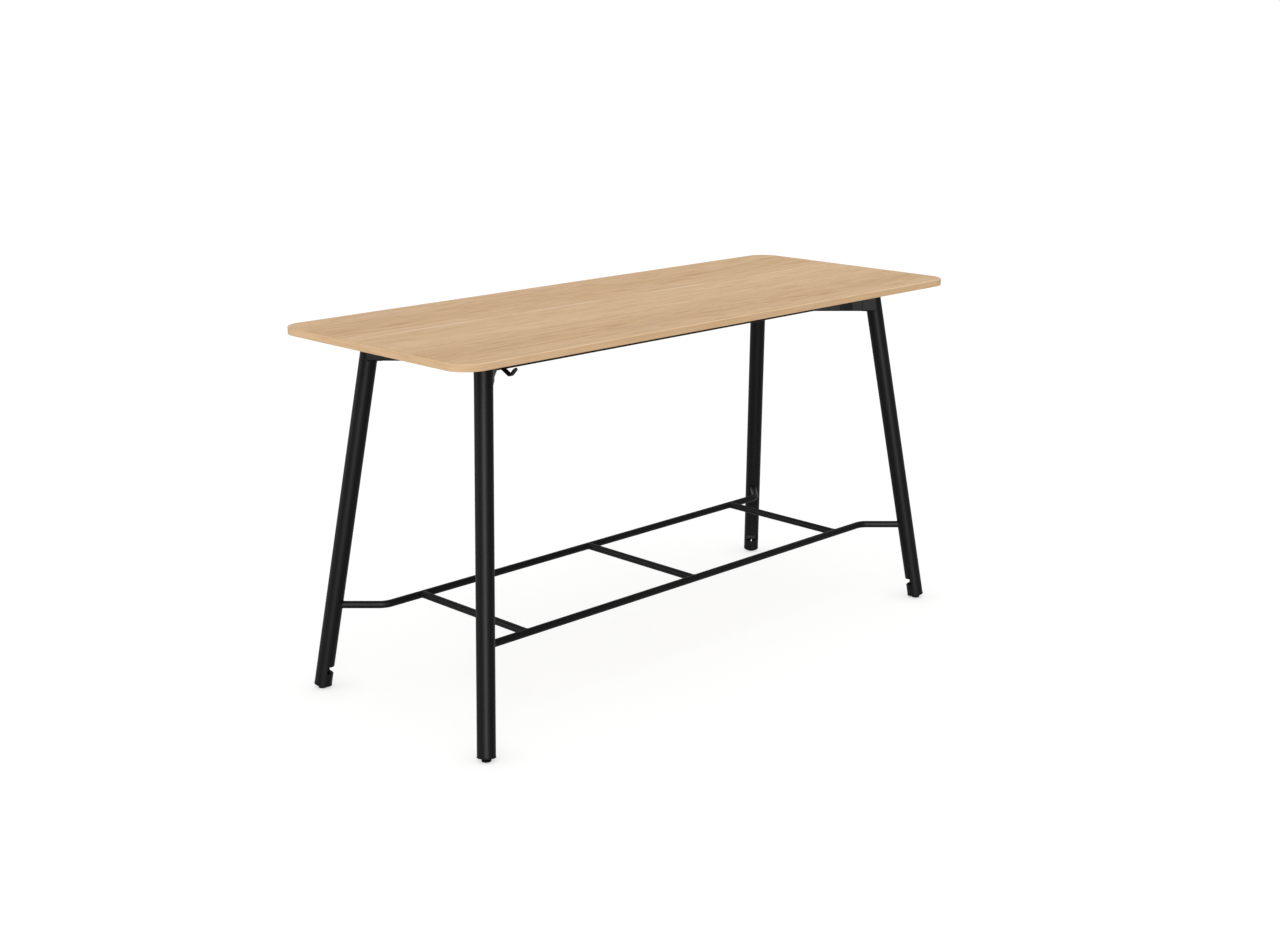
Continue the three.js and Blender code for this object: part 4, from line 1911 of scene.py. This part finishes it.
    def _world(self) -> None:
        """Surround the table with white, at a lower level as a light."""
        world = bpy.data.worlds.new("white_surround")
        bpy.context.scene.world = world
        world.use_nodes = True
        tree = world.node_tree
        tree.nodes.clear()
        level = add_node(
            tree,
            "ShaderNodeMapRange",
            {"Value": self._seen(tree), "To Min": self.sky, "To Max": 1.0},
        )
        light = add_node(
            tree, "ShaderNodeBackground", {"Color": (1.0, 1.0, 1.0, 1.0), "Strength": level}
        )
        add_node(tree, "ShaderNodeOutputWorld", {"Surface": light})


def make_palette() -> dict[Slot, list[bpy.types.Material]]:
    """Make the finishes.

    Returns:
        Materials of each slot.
    """
    face = OakVeneer(
        "sliced_oak_veneer_clear_lacquer",
        Grain.ALONG_THE_BOARD,
        bands=(RingBand(0.175, 0.085, 0.40), RingBand(-0.285, 0.21, 0.115)),
    )
    edge = OakVeneer(
        "oak_lipping_clear_lacquer", Grain.ALONG_THE_PERIMETER, pale="#D0B08B", middle="#C9A983", fleck_depth=0.08
    )
    coat = MatBlack(
        "black_powder_coat_on_steel", "#070708", "#090909", 0.52, 0.46, 0.0016, 0.00002, 0.07
    )
    plastic = MatBlack(
        "black_injection_moulded_nylon", "#08080A", "#0A0A0B", 0.74, 0.66, 0.0008, 0.00002, 0.08
    )
    # The inside of the leg tubes is overspray on bare steel, made paler as painted light for the light that comes
    # in through the cable notch.
    inside = MatBlack(
        "thin_overspray_inside_steel_tube", "#3A3A3C", "#444446", 0.80, 0.70, 0.0030, 0.00002, 0.10
    )
    back = OakVeneer("oak_balancing_veneer_underside", Grain.ALONG_THE_BOARD, vigour=0.5)
    return {
        Slot.OAK: [face.material(), edge.material(), back.material()],
        Slot.COAT: [coat.material(), inside.material()],
        Slot.PLASTIC: [plastic.material()],
        Slot.ZINC: [ZincPlate().material()],
    }


def main() -> None:
    """Build, dress and light the table."""
    logging.basicConfig(level=logging.INFO, format="%(name)s: %(message)s")
    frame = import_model()
    palette = make_palette()
    layout = Layout()
    upper = UpperFrame(layout)
    rest = FootRest(layout)
    hook = BagHook(layout)
    groups: list[SubAssembly] = [
        Board(layout),
        upper,
        LegSet(layout),
        Glides(layout),
        rest,
        hook,
        Fasteners(layout, upper=upper, hook=hook, palette=palette),
        WeldBeads(layout, rest=rest, finish=palette[Slot.COAT][0]),
        CarriedOver(layout, nodes=frame["nodes"]),
    ]
    for group in groups:
        group.build()
        LOG.info("built %s", type(group).__name__)
        group.dress(palette)
    dark = [piece.obj for group in groups for piece in group.pieces if piece.slot is not Slot.OAK]
    Studio(dark).build()


if __name__ == "__main__":
    main()
